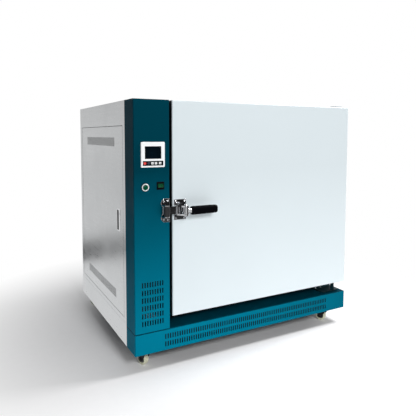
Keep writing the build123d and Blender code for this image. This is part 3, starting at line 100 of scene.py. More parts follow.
# ------------------------------------------------------------------ shading tools
class Shader:
    """A material's node tree, with short calls for the nodes that the finishes share."""

    def __init__(self, name: str) -> None:
        """Makes a material with one Principled shader.

        Args:
            name: The material's name.
        """
        self.material = bpy.data.materials.new(name)
        self.material.use_nodes = True
        self.tree = self.material.node_tree
        self.surface = self.tree.nodes["Principled BSDF"]

    def node(self, kind: str, **values: object) -> bpy.types.Node:
        """Adds a node and sets its properties.

        Args:
            kind: Blender's name of the node type.
            **values: Properties of the node.

        Returns:
            The new node.
        """
        made = self.tree.nodes.new(kind)
        for key, value in values.items():
            setattr(made, key, value)
        return made

    def link(self, source: Socket, target: Socket) -> None:
        """Joins two sockets."""
        self.tree.links.new(source, target)

    def feed(self, source: Socket, name: str) -> None:
        """Joins a socket to one of the surface's inputs.

        Args:
            source: The socket that gives the value.
            name: The input's name.
        """
        self.link(source, self.surface.inputs[name])

    def place(self, scale: Triple = (1, 1, 1)) -> Socket:
        """Gives the object's own coordinates, stretched.

        Args:
            scale: Factor along each axis.

        Returns:
            The vector socket.
        """
        coordinates = self.node("ShaderNodeTexCoord")
        mapping = self.node("ShaderNodeMapping")
        mapping.inputs["Scale"].default_value = scale
        self.link(coordinates.outputs["Object"], mapping.inputs["Vector"])
        return mapping.outputs["Vector"]

    def along(self, axis: str) -> Socket:
        """Gives one of the object's own coordinates in metres.

        Args:
            axis: X, Y or Z.

        Returns:
            The coordinate's socket.
        """
        parts = self.node("ShaderNodeSeparateXYZ")
        self.link(self.place(), parts.inputs[0])
        return parts.outputs[axis]

    def vector(self, kind: str, first: Socket, second: object = None) -> bpy.types.Node:
        """Works with vectors.

        Args:
            kind: Blender's name of the operation.
            first: Socket of the first vector.
            second: The second vector, where the operation needs one.

        Returns:
            The node.
        """
        made = self.node("ShaderNodeVectorMath", operation=kind)
        self.link(first, made.inputs[0])
        if second is not None:
            made.inputs[1].default_value = second
        return made

    def from_axis(self, centre: Triple, axis: Triple) -> Socket:
        """Gives the distance from a line in metres.

        Args:
            centre: A point on the line.
            axis: The line's unit direction.

        Returns:
            The distance's socket.
        """
        offset = self.vector("SUBTRACT", self.place(), centre)
        crossed = self.vector("CROSS_PRODUCT", offset.outputs[0], axis)
        return self.vector("LENGTH", crossed.outputs[0]).outputs["Value"]

    def noise(self, scale: float, detail: float = 2, stretch: Triple = (1, 1, 1)) -> Socket:
        """Gives a noise pattern fixed to the object.

        Args:
            scale: Cells per metre.
            detail: Number of finer layers.
            stretch: Factor along each axis.

        Returns:
            The pattern's value socket.
        """
        texture = self.node("ShaderNodeTexNoise")
        texture.inputs["Scale"].default_value = scale
        texture.inputs["Detail"].default_value = detail
        self.link(self.place(stretch), texture.inputs["Vector"])
        return texture.outputs["Fac"]

    def ramp(self, value: Socket, low: float, high: float, start: float, end: float) -> Socket:
        """Maps a value from one range to another, held at the ends.

        Args:
            value: The socket that is read.
            low: Value that gives start.
            high: Value that gives end.
            start: Result at low.
            end: Result at high.

        Returns:
            The mapped socket.
        """
        mapped = self.node("ShaderNodeMapRange")
        names = ("From Min", "From Max", "To Min", "To Max")
        for key, number in zip(names, (low, high, start, end)):
            mapped.inputs[key].default_value = number
        self.link(value, mapped.inputs["Value"])
        return mapped.outputs["Result"]

    def mottle(
        self, scale: float, detail: float, window: Pair = SOFT, reach: Pair = (0, 1)
    ) -> Socket:
        """Gives a noise pattern with its values stretched.

        Args:
            scale: Cells per metre.
            detail: Number of finer layers.
            window: Values of the pattern that give the ends of the reach.
            reach: Results at the window's ends.

        Returns:
            The stretched pattern's socket.
        """
        return self.ramp(self.noise(scale, detail), *window, *reach)

    def math(self, kind: str, first: object, second: object = 0.0) -> Socket:
        """Works out one sum of numbers or sockets.

        Args:
            kind: Blender's name of the operation.
            first: Number or socket.
            second: Number or socket.

        Returns:
            The result's socket.
        """
        made = self.node("ShaderNodeMath", operation=kind)
        for slot, value in enumerate((first, second)):
            if isinstance(value, (int, float)):
                made.inputs[slot].default_value = value
            else:
                self.link(value, made.inputs[slot])
        return made.outputs[0]

    def blend(self, amount: Socket, first: object, second: object) -> Socket:
        """Mixes two colours by a pattern.

        Args:
            amount: Share of the second colour.
            first: Linear colour or socket at 0.
            second: Linear colour or socket at 1.

        Returns:
            The colour socket.
        """
        mix = self.node("ShaderNodeMix", data_type="RGBA")
        self.link(amount, mix.inputs["Factor"])
        for slot, colour in ((MIX_FIRST, first), (MIX_SECOND, second)):
            if isinstance(colour, tuple):
                mix.inputs[slot].default_value = (*colour, 1)
            else:
                self.link(colour, mix.inputs[slot])
        return mix.outputs[MIX_RESULT]

    def bump(self, height: Socket, strength: float, distance: float) -> None:
        """Roughens the surface by a pattern.

        Args:
            height: Pattern of the relief.
            strength: Share of the full effect.
            distance: Height of the relief in metres.
        """
        made = self.node("ShaderNodeBump")
        made.inputs["Strength"].default_value = strength
        made.inputs["Distance"].default_value = distance
        self.link(height, made.inputs["Height"])
        self.feed(made.outputs["Normal"], "Normal")

    def set(self, **values: object) -> None:
        """Sets plain values on the shader, names written with underscores."""
        for key, value in values.items():
            self.surface.inputs[key.replace("_", " ")].default_value = value

    def worn_edges(self, radius: float) -> Socket:
        """Marks edges, from 0 on flats to about 1 on sharp corners.

        Args:
            radius: Width of the marked band in metres.

        Returns:
            The mask's socket.
        """
        rounded = self.node("ShaderNodeBevel", samples=4)
        rounded.inputs["Radius"].default_value = radius
        plain = self.node("ShaderNodeNewGeometry")
        dot = self.vector("DOT_PRODUCT", rounded.outputs["Normal"])
        self.link(plain.outputs["Normal"], dot.inputs[1])
        return self.ramp(dot.outputs["Value"], *EDGE_DOTS, 0, 1)

    def painted_level_shade(self, amount: float) -> Socket:
        """Marks the faces that look up, for painted shade on them.

        Args:
            amount: Value on level faces.

        Returns:
            The mask's socket.
        """
        plain = self.node("ShaderNodeNewGeometry")
        tilt = self.node("ShaderNodeSeparateXYZ")
        self.link(plain.outputs["Normal"], tilt.inputs[0])
        return self.ramp(tilt.outputs["Z"], *LEVEL_DOTS, 0, amount)


# ------------------------------------------------------------------ finishes
@dataclass(frozen=True)
class Patch:
    """Box in which a finish takes another colour.

    Attributes:
        low: The box's lowest corner.
        high: Its highest corner.
        colour: Linear colour inside it.
    """

    low: Triple
    high: Triple
    colour: Triple = DEEP_SHADE

    def over(self, shader: Shader, base: Socket) -> Socket:
        """Lays the patch over a colour.

        Args:
            shader: The material that is built.
            base: The colour so far.

        Returns:
            The colour with the patch.
        """
        low, high = Vector(self.low), Vector(self.high)
        offset = shader.vector("SUBTRACT", shader.place(), (low + high) / 2)
        share = shader.vector("DIVIDE", offset.outputs[0], (high - low) / 2)
        size = shader.vector("ABSOLUTE", share.outputs[0])
        parts = shader.node("ShaderNodeSeparateXYZ")
        shader.link(size.outputs[0], parts.inputs[0])
        widest = shader.math("MAXIMUM", parts.outputs["X"], parts.outputs["Y"])
        widest = shader.math("MAXIMUM", widest, parts.outputs["Z"])
        return shader.blend(shader.math("LESS_THAN", widest, 1.0), base, self.colour)


@dataclass(frozen=True)
class Finish:
    """Look of a surface, built as a material of its own name."""

    name: str

    def make(self) -> bpy.types.Material:
        """Returns the finish as a material."""
        shader = Shader(self.name)
        self.apply(shader)
        return shader.material

    def apply(self, shader: Shader) -> None:
        """Builds the finish on a new material; each kind has its own way."""
        raise NotImplementedError


@dataclass(frozen=True)
class Paint(Finish):
    """Stoved enamel with a fine orange peel, slightly lighter edges and optional painted shade.

    Attributes:
        shade: Share of the colour that its darker clouds keep.
        painted_shade: Share of the colour left where the painted shade gradient ends.
        top: Share of the colour that level faces keep under their painted shade.
        edge_gain: Lightening at an edge of strength 1.
    """

    colour: Triple
    shade: float = 0.93
    roughness: float = 0.34
    coat: float = 0.0
    peel: float = 0.12
    edge: float = 0.1
    gloss: float = 0.5
    painted_shade: float = 1.0
    painted_shade_axis: str = "Z"
    fade_start: float = 0.1
    fade_end: float = 0.78
    top: float = 1.0
    patches: tuple[Patch, ...] = ()
    clouds: float = 3.1
    smudges: float = 11
    pores: float = 900
    edge_band: float = 1.2 * MM
    edge_gain: float = 0.22

    def apply(self, shader: Shader) -> None:
        """Builds the finish on a new material."""
        cloud = shader.mottle(self.clouds, 3, CRISP)
        base = shader.blend(cloud, scaled(self.colour, self.shade), self.colour)
        # Painted shade: the colour darkens along one axis, from fade_start to fade_end.
        if self.painted_shade < 1:
            place = shader.along(self.painted_shade_axis)
            share = shader.ramp(place, self.fade_start, self.fade_end, 0, 1)
            base = shader.blend(share, base, scaled(self.colour, self.painted_shade))
        lighter = lightened(self.colour, self.edge_gain * self.edge)
        base = shader.blend(shader.worn_edges(self.edge_band), base, lighter)
        # Painted shade: faces that look up are darkened towards black.
        if self.top < 1:
            base = shader.blend(shader.painted_level_shade(1 - self.top), base, BLACK)
        for patch in self.patches:
            base = patch.over(shader, base)
        shader.feed(base, "Base Color")
        rough = around(self.roughness, 0.05, 0.06)
        shader.feed(shader.mottle(self.smudges, 4, SOFT, rough), "Roughness")
        shader.bump(shader.noise(self.pores, 2), self.peel, FINE_RELIEF)
        shader.set(Coat_Weight=self.coat, Coat_Roughness=0.12, Specular_IOR_Level=self.gloss)


@dataclass(frozen=True)
class BrushedSheet(Finish):
    """Sheet metal with fine brush lines, faint clouding, handling marks and optional painted shade
    towards the top.
    """

    colour: Triple
    grain: Grain
    roughness: float = 0.3
    contrast: float = 0.03
    lines: float = 1500
    relief: float = 0.03
    painted_shade: float = 1.0
    painted_shade_foot: float = 0.25
    painted_shade_height: float = 1.05
    clouds: float = 2.3
    touches: float = 6
    wide_scale: float = 0.16
    fine_share: float = 0.65

    def apply(self, shader: Shader) -> None:
        """Builds the finish on a new material."""
        fine = shader.noise(self.lines, 3, self.grain.value)
        wide = shader.noise(self.lines * self.wide_scale, 2, self.grain.value)
        streak = shader.math(
            "ADD",
            shader.math("MULTIPLY", fine, self.fine_share),
            shader.math("MULTIPLY", wide, 1 - self.fine_share),
        )
        darker = scaled(self.colour, 1 - self.contrast)
        lighter = scaled(self.colour, 1 + self.contrast / 2)
        tone = shader.blend(shader.ramp(streak, *CRISP, 0, 1), darker, lighter)
        tone = shader.blend(shader.mottle(self.clouds, 3, SOFT, (0, 0.35)), tone, darker)
        # Painted shade: the sheet darkens towards the top.
        if self.painted_shade < 1:
            share = shader.ramp(shader.along("Z"), self.painted_shade_foot, self.painted_shade_height, 0, 1)
            tone = shader.blend(share, tone, scaled(self.colour, self.painted_shade))
        shader.feed(tone, "Base Color")
        rough = shader.ramp(streak, *SOFT, *around(self.roughness, 0.06, 0.08))
        touch = shader.mottle(self.touches, 4, window=(0.5, 0.75), reach=(0, 0.06))
        shader.feed(shader.math("ADD", rough, touch), "Roughness")
        shader.bump(streak, self.relief, BRUSH_RELIEF)
        shader.set(Metallic=1.0)


@dataclass(frozen=True)
class Plated(Finish):
    """Plated or polished metal with faint clouding and dulled patches."""

    colour: Triple
    roughness: float = 0.08
    dulling: float = 0.1
    cells: float = 60
    relief: float = 0.03
    patches: tuple[Patch, ...] = ()
    shade: float = 0.82
    dull_scale: float = 2.3
    wave_scale: float = 6

    def apply(self, shader: Shader) -> None:
        """Builds the finish on a new material."""
        cloud = shader.mottle(self.cells, 4, window=(0.35, 0.7))
        tone = shader.blend(cloud, self.colour, scaled(self.colour, self.shade))
        for patch in self.patches:
            tone = patch.over(shader, tone)
        shader.feed(tone, "Base Color")
        dull = (self.roughness, self.roughness + self.dulling)
        rough = shader.mottle(self.cells * self.dull_scale, 3, (0.35, 0.75), dull)
        shader.feed(rough, "Roughness")
        shader.bump(shader.noise(self.cells * self.wave_scale, 2), self.relief, FINE_RELIEF)
        shader.set(Metallic=1.0)


@dataclass(frozen=True)
class Moulded(Finish):
    """Moulded plastic or rubber with a fine grain."""

    colour: Triple
    roughness: float = 0.45
    grain: float = 0.15
    cells: float = 1400
    variation: float = 0.08
    sheen: float = 0.0
    gloss: float = 0.5
    clouds: float = 24
    smears: float = 90
    edge_band: float = 0.6 * MM
    edge_gain: float = 0.3

    def apply(self, shader: Shader) -> None:
        """Builds the finish on a new material."""
        darker = scaled(self.colour, 1 - self.variation)
        lighter = lightened(self.colour, self.variation * self.edge_gain)
        base = shader.blend(shader.mottle(self.clouds, 4), darker, self.colour)
        shader.feed(shader.blend(shader.worn_edges(self.edge_band), base, lighter), "Base Color")
        rough = around(self.roughness, 0.05, 0.07)
        shader.feed(shader.mottle(self.smears, 3, SOFT, rough), "Roughness")
        shader.bump(shader.noise(self.cells, 2), self.grain, FINE_RELIEF)
        shader.set(Sheen_Weight=self.sheen, Specular_IOR_Level=self.gloss)


@dataclass(frozen=True)
class Wool(Finish):
    """Mineral wool board with tangled fibres and darker flecks."""

    colour: Triple
    fleck: Triple = (0.16, 0.13, 0.09)
    shade: float = 0.6
    fibres: float = 420
    flecks: float = 160

    def apply(self, shader: Shader) -> None:
        """Builds the finish on a new material."""
        fibre = shader.noise(self.fibres, 6, (1, 1, 3))
        dark = scaled(self.colour, self.shade)
        tone = shader.blend(shader.ramp(fibre, *SOFT, 0, 1), dark, self.colour)
        spots = shader.mottle(self.flecks, 3, window=(0.62, 0.7))
        shader.feed(shader.blend(spots, tone, self.fleck), "Base Color")
        shader.bump(fibre, 0.6, FIBRE_RELIEF)
        shader.set(Roughness=0.95, Sheen_Weight=0.2)


@dataclass(frozen=True)
class HeatedSheath(Finish):
    """Heater sheath whose steel has gone straw and blue in patches."""

    straw: Triple = (0.16, 0.11, 0.07)
    blue: Triple = (0.07, 0.075, 0.1)
    scale: Triple = (0.05, 0.045, 0.04)

    def apply(self, shader: Shader) -> None:
        """Builds the finish on a new material."""
        tone = shader.blend(shader.mottle(9, 3, CRISP), self.straw, self.blue)
        crust = shader.mottle(180, 5, window=(0.45, 0.6), reach=(0, 0.7))
        shader.feed(shader.blend(crust, tone, self.scale), "Base Color")
        shader.feed(shader.ramp(crust, 0, 1, 0.4, 0.65), "Roughness")
        shader.bump(crust, 0.2, FINE_RELIEF)
        shader.set(Metallic=1.0)


@dataclass(frozen=True)
class WheelTread(Finish):
    """Cast caster wheel: an ivory tread round a black hub, scuffed where it rolls."""

    centre: Triple
    axle: Triple
    hub_radius: float = 16.2 * MM
    tread_radius: float = 24.4 * MM
    scuff_depth: float = 1.5 * MM
    softness: float = 0.3 * MM
    hub: Triple = (0.018, 0.018, 0.02)
    ivory: Triple = (0.76, 0.77, 0.56)
    pale: Triple = (0.84, 0.85, 0.64)
    scuff: Triple = (0.34, 0.3, 0.24)

    def apply(self, shader: Shader) -> None:
        """Builds the finish on a new material."""
        radius = shader.from_axis(self.centre, self.axle)
        step = around(self.hub_radius, self.softness, self.softness)
        in_tread = shader.ramp(radius, *step, 0, 1)
        rim = shader.ramp(radius, self.tread_radius - self.scuff_depth, self.tread_radius, 0, 1)
        marks = shader.mottle(260, 4, window=(0.4, 0.7), reach=(0.15, 0.8))
        clean = shader.blend(shader.mottle(70, 3), self.ivory, self.pale)
        tread = shader.blend(shader.math("MULTIPLY", rim, marks), clean, self.scuff)
        shader.feed(shader.blend(in_tread, self.hub, tread), "Base Color")
        shader.feed(shader.ramp(in_tread, 0, 1, 0.28, 0.42), "Roughness")
        shader.bump(shader.noise(700, 3), 0.15, FINE_RELIEF)


@dataclass(frozen=True)
class LensRing(Finish):
    """Satin ring between bands of painted shade within it and round it, seen end on along Y."""

    centre: Triple
    gap_shade_radius: float
    ring_radius: float
    softness: float = 0.2 * MM
    gap_shade: Triple = (0.012, 0.013, 0.014)
    satin: Triple = (0.78, 0.79, 0.81)
    bright: Triple = (0.88, 0.89, 0.9)
    metal: float = 0.25

    def apply(self, shader: Shader) -> None:
        """Builds the finish on a new material."""
        radius = shader.from_axis(self.centre, (0, 1, 0))
        soft = self.softness
        outside = shader.ramp(radius, *around(self.gap_shade_radius, soft, soft), 0, 1)
        within = shader.ramp(radius, *around(self.ring_radius, soft, soft), 1, 0)
        ring = shader.math("MULTIPLY", outside, within)
        brushed = shader.blend(shader.noise(900, 3), self.satin, self.bright)
        # Painted shade: within gap_shade_radius and past ring_radius the ring is near black, the
        # shade of the gaps at the lens and the panel.
        shader.feed(shader.blend(ring, self.gap_shade, brushed), "Base Color")
        shader.feed(shader.mottle(120, 3, reach=(0.3, 0.42)), "Roughness")
        shader.feed(shader.math("MULTIPLY", ring, self.metal), "Metallic")
        shader.bump(shader.noise(1200, 2), 0.05, BRUSH_RELIEF)


@dataclass(frozen=True)
class Display(Finish):
    """Dark display window, lighter and bluish towards its middle as a painted glow."""

    centre: Triple
    reach: float = 40 * MM
    rim: Triple = (0.0015, 0.003, 0.005)
    depth: Triple = (0.002, 0.006, 0.011)
    gloss: float = 0.06

    def apply(self, shader: Shader) -> None:
        """Builds the finish on a new material."""
        offset = shader.vector("DISTANCE", shader.place(), self.centre)
        # Painted glow: the window is lighter and bluish at its middle, darker towards its rim.
        glow = shader.ramp(offset.outputs["Value"], 0, self.reach, 1, 0)
        weave = shader.math("MULTIPLY", glow, shader.mottle(2600, 1, reach=(0.8, 1)))
        shader.feed(shader.blend(weave, self.rim, self.depth), "Base Color")
        shader.feed(shader.mottle(35, 4, window=(0.4, 0.7), reach=(0.1, 0.2)), "Roughness")
        shader.set(Specular_IOR_Level=self.gloss)


@dataclass
class Wardrobe:
    """Every finish of the oven, each made once."""

    made: dict[str, bpy.types.Material] = field(default_factory=dict)

    def get(self, finish: Finish) -> bpy.types.Material:
        """Gives the material of a finish.

        Args:
            finish: The finish that is wanted.

        Returns:
            The material.
        """
        if finish.name not in self.made:
            self.made[finish.name] = finish.make()
        return self.made[finish.name]


# Painted shade: the teal darkens towards the top.
TEAL = Paint("teal_enamel", (0.0, 0.2, 0.31), roughness=0.4, gloss=0.006, painted_shade=0.2)
# Painted shade: the plinth darkens towards its right end, and its level faces, the ledge, keep
# about a quarter of the colour.
TEAL_PLINTH = replace(
    TEAL,
    name="teal_plinth_enamel",
    painted_shade=0.62,
    painted_shade_axis="X",
    fade_start=-0.3,
    fade_end=0.54,
    top=0.26,
)
# Painted shade: near-black enamel for the lower hinge bracket in the shade under the door.
HINGE_SHADE_ENAMEL = Paint("hinge_shade_enamel", (0.004, 0.022, 0.028), roughness=0.42, gloss=0.1)
# Painted shade: the pale door darkens towards the top.
PALE = Paint(
    "pale_enamel",
    (0.8, 0.88, 0.91),
    shade=0.98,
    roughness=0.38,
    coat=0.05,
    peel=0.1,
    gloss=0.3,
    painted_shade=0.8,
)
BLACK_ENAMEL = Paint(
    "black_enamel", (0.008, 0.008, 0.009), roughness=0.5, peel=0.3, edge=0.3, gloss=0.15
)
# Painted shade: the outer sheets darken towards the top.
SIDE_SHEET = BrushedSheet("side_steel", (0.63, 0.645, 0.655), Grain.ALONG_Y, painted_shade=0.62)
FACE_SHEET = BrushedSheet("cross_steel", (0.6, 0.615, 0.63), Grain.ALONG_X, painted_shade=0.7)
CHAMBER_SHEET = BrushedSheet(
    "chamber_steel", (0.62, 0.63, 0.64), Grain.ALONG_Y, roughness=0.22, contrast=0.06
)
ROUND_STEEL = BrushedSheet(
    "turned_steel", (0.6, 0.61, 0.62), Grain.ALONG_X, roughness=0.26, contrast=0.06
)
ZINC = Plated("zinc_plate", (0.62, 0.64, 0.66), roughness=0.26, dulling=0.18, cells=140)
# Zinc plate darkened with painted shade, for the partition in the closed electrical bay.
SHADED_ZINC = Plated("zinc_painted_shade", (0.08, 0.085, 0.09), roughness=0.55, dulling=0.15, cells=140)
CHROME = Plated(
    "chrome_plate", (0.62, 0.63, 0.65), roughness=0.05, dulling=0.06, cells=35, relief=0.5
)
LOCK_STEEL = Plated("lock_plate", (0.66, 0.67, 0.68), roughness=0.14, dulling=0.1)
CAST_ALUMINIUM = Plated(
    "cast_aluminium", (0.52, 0.53, 0.55), roughness=0.38, dulling=0.14, cells=220
)
WHITE_CASE = Moulded("white_case", (0.9, 0.91, 0.92), roughness=0.36, grain=0.1)
BLACK_CASE = Moulded(
    "black_case", (0.003, 0.003, 0.004), roughness=0.4, variation=0.03, gloss=0.05
)
RED_KEY = Moulded("red_key", (0.8, 0.05, 0.04), roughness=0.32, grain=0.1)
DARK_KEY = Moulded("dark_key", (0.025, 0.035, 0.06), roughness=0.34, grain=0.1)
WHITE_KEY = Moulded("white_key", (0.88, 0.89, 0.88), roughness=0.34, grain=0.1)
GREEN_LENS = Moulded(
    "green_lens",
    (0.0, 0.07, 0.03),
    roughness=0.2,
    grain=0.05,
    cells=500,
    variation=0.2,
    gloss=0.08,
)
GREEN_ROCKER = Moulded(
    "green_rocker", (0.0, 0.06, 0.02), roughness=0.26, grain=0.05, variation=0.2, gloss=0.15
)
GRIP_RUBBER = Moulded(
    "grip_rubber",
    (0.002, 0.002, 0.003),
    roughness=0.55,
    grain=0.25,
    cells=1900,
    variation=0.02,
    gloss=0.02,
)
SILICONE = Moulded("silicone", (0.05, 0.05, 0.052), roughness=0.55, grain=0.2, sheen=0.1)
ROLLER_NYLON = Moulded("roller_nylon", (0.02, 0.02, 0.022), roughness=0.4, grain=0.15, gloss=0.3)
# Painted shade: contactor and terminal block are darkened, as in the closed bay behind the slots.
SHADED_CONTACTOR = Moulded("contactor_painted_shade", (0.04, 0.042, 0.045), roughness=0.5)
SHADED_TERMINAL = Moulded("terminal_painted_shade", (0.03, 0.026, 0.022), roughness=0.45)
MINERAL_WOOL = Wool("mineral_wool", (0.5, 0.45, 0.34))
HEATER = HeatedSheath("heater_sheath")


# ------------------------------------------------------------------ mesh tools
def facing(normal: Vector) -> Matrix:
    """Turns +Z to a direction.

    Args:
        normal: Direction that +Z takes.

    Returns:
        The rotation as a 4 by 4 matrix.
    """
    return normal.to_track_quat("Z", "Y").to_matrix().to_4x4()


def settle(
    mesh: bpy.types.Mesh, finish: Finish, wardrobe: Wardrobe, body: str
) -> bpy.types.Object:
    """Puts a mesh in the scene on its CAD body.

    Args:
        mesh: The finished mesh, in the row's frame.
        finish: The finish it wears.
        wardrobe: Where finishes are kept.
        body: The CAD body that carries it.

    Returns:
        The object.
    """
    made = bpy.data.objects.new(mesh.name, mesh)
    bpy.context.collection.objects.link(made)
    mesh.materials.append(wardrobe.get(finish))
    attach(made, body)
    return made


@dataclass
class ScrewHead:
    """Domed screw head with a cross recess."""

    radius: float
    height: float
    arm: float = 0.13
    reach: float = 0.6
    sink: float = 0.55
    rings: int = 9
    sides: int = 32

    def depth_at(self, x: float, y: float) -> float:
        """Gives the depth of the cross below the dome.

        Args:
            x: Place across the head, as a share of its radius.
            y: The same along the other way.

        Returns:
            The depth in metres.
        """
        across, outward = sorted((abs(x), abs(y)))
        in_cross = across < self.arm and outward < self.reach
        return self.sink * self.height if in_cross else 0.0

    def add(self, mesh: bmesh.types.BMesh, place: Vector, normal: Vector, turn: float) -> None:
        """Adds one head to a mesh.

        Args:
            mesh: The mesh that is built.
            place: Middle of the head's seat.
            normal: Direction that the head faces.
            turn: Turn of the cross in radians.
        """
        frame_at = Matrix.Translation(place) @ facing(normal) @ Matrix.Rotation(turn, 4, "Z")
        rows = []
        for ring in range(self.rings + 1):
            share = ring / self.rings
            row = []
            for side in range(self.sides):
                angle = 2 * math.pi * side / self.sides
                x, y = share * math.cos(angle), share * math.sin(angle)
                dome = self.height * (1 - share**4) ** 0.5
                z = max(dome - self.depth_at(x, y), 0.0)
                point = Vector((x * self.radius, y * self.radius, z))
                row.append(mesh.verts.new(frame_at @ point))
                if ring == 0:
                    break
            rows.append(row)
        for side in range(self.sides):
            after = (side + 1) % self.sides
            mesh.faces.new((rows[0][0], rows[1][side], rows[1][after]))
            for ring in range(1, self.rings):
                inner, outer = rows[ring], rows[ring + 1]
                mesh.faces.new((inner[side], outer[side], outer[after], inner[after]))


@dataclass
class ScrewGroup:
    """Identical screw heads on one body, each turned a step further."""

    name: str
    head: ScrewHead
    places: list[Triple]
    normal: Triple
    body: str
    finish: Finish = ZINC
    slot: str = "zinc_steel"
    first_turn: float = 0.2
    turn_step: float = 0.7

    def build(self, wardrobe: Wardrobe) -> bpy.types.Object:
        """Builds the heads as one object.

        Args:
            wardrobe: Where finishes are kept.

        Returns:
            The object.
        """
        mesh = bmesh.new()
        for number, place in enumerate(self.places):
            turn = self.turn_step * number + self.first_turn
            self.head.add(mesh, Vector(place), Vector(self.normal), turn)
        bmesh.ops.recalc_face_normals(mesh, faces=mesh.faces)
        data = bpy.data.meshes.new(self.name)
        mesh.to_mesh(data)
        mesh.free()
        data.polygons.foreach_set("use_smooth", [True] * len(data.polygons))
        return settle(data, self.finish, wardrobe, self.body)


def flat_mark(
    name: str, corners: list[Pair], place: Vector, right: Vector, up: Vector
) -> bpy.types.Mesh:
    """Makes a thin printed mark.

    Args:
        name: The mesh's name.
        corners: Outline in metres on the mark's own plane.
        place: Where the outline's origin lies.
        right: Direction of the first axis.
        up: Direction of the second axis.

    Returns:
        The mesh.
    """
    data = bpy.data.meshes.new(name)
    points = [place + right * x + up * y for x, y in corners]
    data.from_pydata(points, [], [tuple(range(len(points)))])
    return data


# ------------------------------------------------------------------ sub-assemblies
@dataclass
class SubAssembly:
    """A group of CAD nodes with their finishes, and what is added to them."""

    wardrobe: Wardrobe
    finishes: dict[str, Finish] = field(default_factory=dict)

    def dress(self) -> int:
        """Puts each node's finish on it.

        Returns:
            How many nodes were dressed.
        """
        for node, finish in self.finishes.items():
            target = frame["nodes"][node]
            material = self.wardrobe.get(finish)
            target.data.materials.clear()
            target.data.materials.append(material)
        return len(self.finishes)

    def build(self) -> list[bpy.types.Object]:
        """Adds the small pieces; most sub-assemblies have none."""
        return []


def corners_of(node: str) -> tuple[Vector, Vector]:
    """Gives a CAD node's lowest and highest corners."""
    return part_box(node)


@dataclass
class Casing(SubAssembly):
    """Stainless outer sheets."""

    screw: ScrewHead = field(default_factory=lambda: ScrewHead(4.2 * MM, 2.0 * MM))
    edge_inset: float = 12 * MM
    field_rise: float = 1.5 * MM
    rear_steps: tuple[float, ...] = (0, 0.25, 0.5, 0.75, 1)

    def __post_init__(self) -> None:
        """Lists the nodes."""
        self.finishes = {
            "side_frame": SIDE_SHEET,
            "right_panel": SIDE_SHEET,
            "top_panel": FACE_SHEET,
            "rear_panel": FACE_SHEET,
            # Painted shade: the front frame is black so that the gap under the door reads as
            # shade.
            "front_frame": BLACK_ENAMEL,
            # Painted shade: the partition is darkened zinc, as the closed bay is dark.
            "partition_panel": SHADED_ZINC,
        }

    def build(self) -> list[bpy.types.Object]:
        """Adds the rear panel's edge screws.

        Returns:
            The objects made.
        """
        low, high = corners_of("rear_panel")
        face = high.y - self.field_rise
        inset = Vector((self.edge_inset, 0, self.edge_inset))
        near, far = low + inset, high - inset
        places = set()
        for step in self.rear_steps:
            x, z = near.x + (far.x - near.x) * step, near.z + (far.z - near.z) * step
            for spot in ((x, near.z), (x, far.z), (near.x, z), (far.x, z)):
                places.add((round(spot[0], 6), face, round(spot[1], 6)))
        group = ScrewGroup("rear_panel_screws", self.screw, sorted(places), (0, 1, 0), "cabinet")
        return [group.build(self.wardrobe)]


@dataclass
class FrontModule(SubAssembly):
    """Teal column and plinth, with painted shade within the covers and along the joint between
    them.

    Attributes:
        seam_shade: Height of the painted shade line at the column's foot.
        sheet: Depth at which the covers' insides start.
        skin: How far the painted shade boxes start behind or reach past the covers.
    """

    seam_shade: float = 1.6 * MM
    sheet: float = 1.2 * MM
    skin: float = 0.3 * MM

    def __post_init__(self) -> None:
        """Lists the nodes."""
        low, high = corners_of("column_cover")
        past = Vector((self.skin, self.skin, self.skin))
        foot = Vector((high.x, high.y, low.z - self.skin + self.seam_shade))
        # Painted shade: a near-black line at the column's foot, and near-black boxes within the
        # covers behind their slots.
        seam_shade = Patch(tuple(low - past), tuple(foot + past))
        column = replace(TEAL, patches=(self.inside("column_cover"), seam_shade))
        plinth = replace(TEAL_PLINTH, patches=(self.inside("plinth_cover"),))
        self.finishes = {"plinth_cover": plinth, "column_cover": column}

    def inside(self, cover: str) -> Patch:
        """Gives the painted shade box within a folded cover.

        Args:
            cover: The cover's node.

        Returns:
            The patch.
        """
        low, high = corners_of(cover)
        return Patch(
            (low.x + self.sheet, low.y + self.skin, low.z - self.skin),
            (high.x - self.sheet, high.y + self.skin, high.z - self.sheet),
        )


@dataclass
class ControlPanel(SubAssembly):
    """Controller, start button and mains switch."""

    window_rise: float = 8 * MM
    gap_shade_radius: float = 10.6 * MM
    ring_radius: float = 14.2 * MM
    mark: float = 1.7 * MM
    slant: float = 0.8
    lift: float = 0.05 * MM

    def __post_init__(self) -> None:
        """Lists the nodes."""
        low, high = corners_of("controller_fascia")
        middle = (low + high) / 2
        centre = (middle.x, low.y, middle.z + self.window_rise)
        low, high = corners_of("pushbutton_cap")
        button = tuple((low + high) / 2)
        self.finishes = {
            "controller_housing": WHITE_CASE,
            "controller_fascia": Display("display_window", centre),
            "key_power": RED_KEY,
            "key_program": DARK_KEY,
            "key_shift": WHITE_KEY,
            "key_lower": WHITE_KEY,
            "key_raise": WHITE_KEY,
            # The ring's inner and outer bands are near black, painted shade of the gaps.
            "pushbutton_ring": LensRing(
                "satin_ring", button, self.gap_shade_radius, self.ring_radius
            ),
            "pushbutton_cap": GREEN_LENS,
            "switch_bezel": BLACK_CASE,
            "switch_rocker": GREEN_ROCKER,
        }

    def build(self) -> list[bpy.types.Object]:
        """Adds the arrows printed on the white keys.

        Returns:
            The objects made.
        """
        tip, back = self.mark, self.mark * self.slant
        shapes = {
            "key_shift": [(-tip, 0), (back, tip), (back, -tip)],
            "key_lower": [(0, -tip), (tip, back), (-tip, back)],
            "key_raise": [(0, tip), (-tip, -back), (tip, -back)],
        }
        made = []
        for node, outline in shapes.items():
            low, high = corners_of(node)
            place = Vector(((low.x + high.x) / 2, low.y - self.lift, (low.z + high.z) / 2))
            data = flat_mark(node + "_arrow", outline, place, Vector((1, 0, 0)), Vector((0, 0, 1)))
            made.append(settle(data, BLACK_CASE, self.wardrobe, node))
        return made


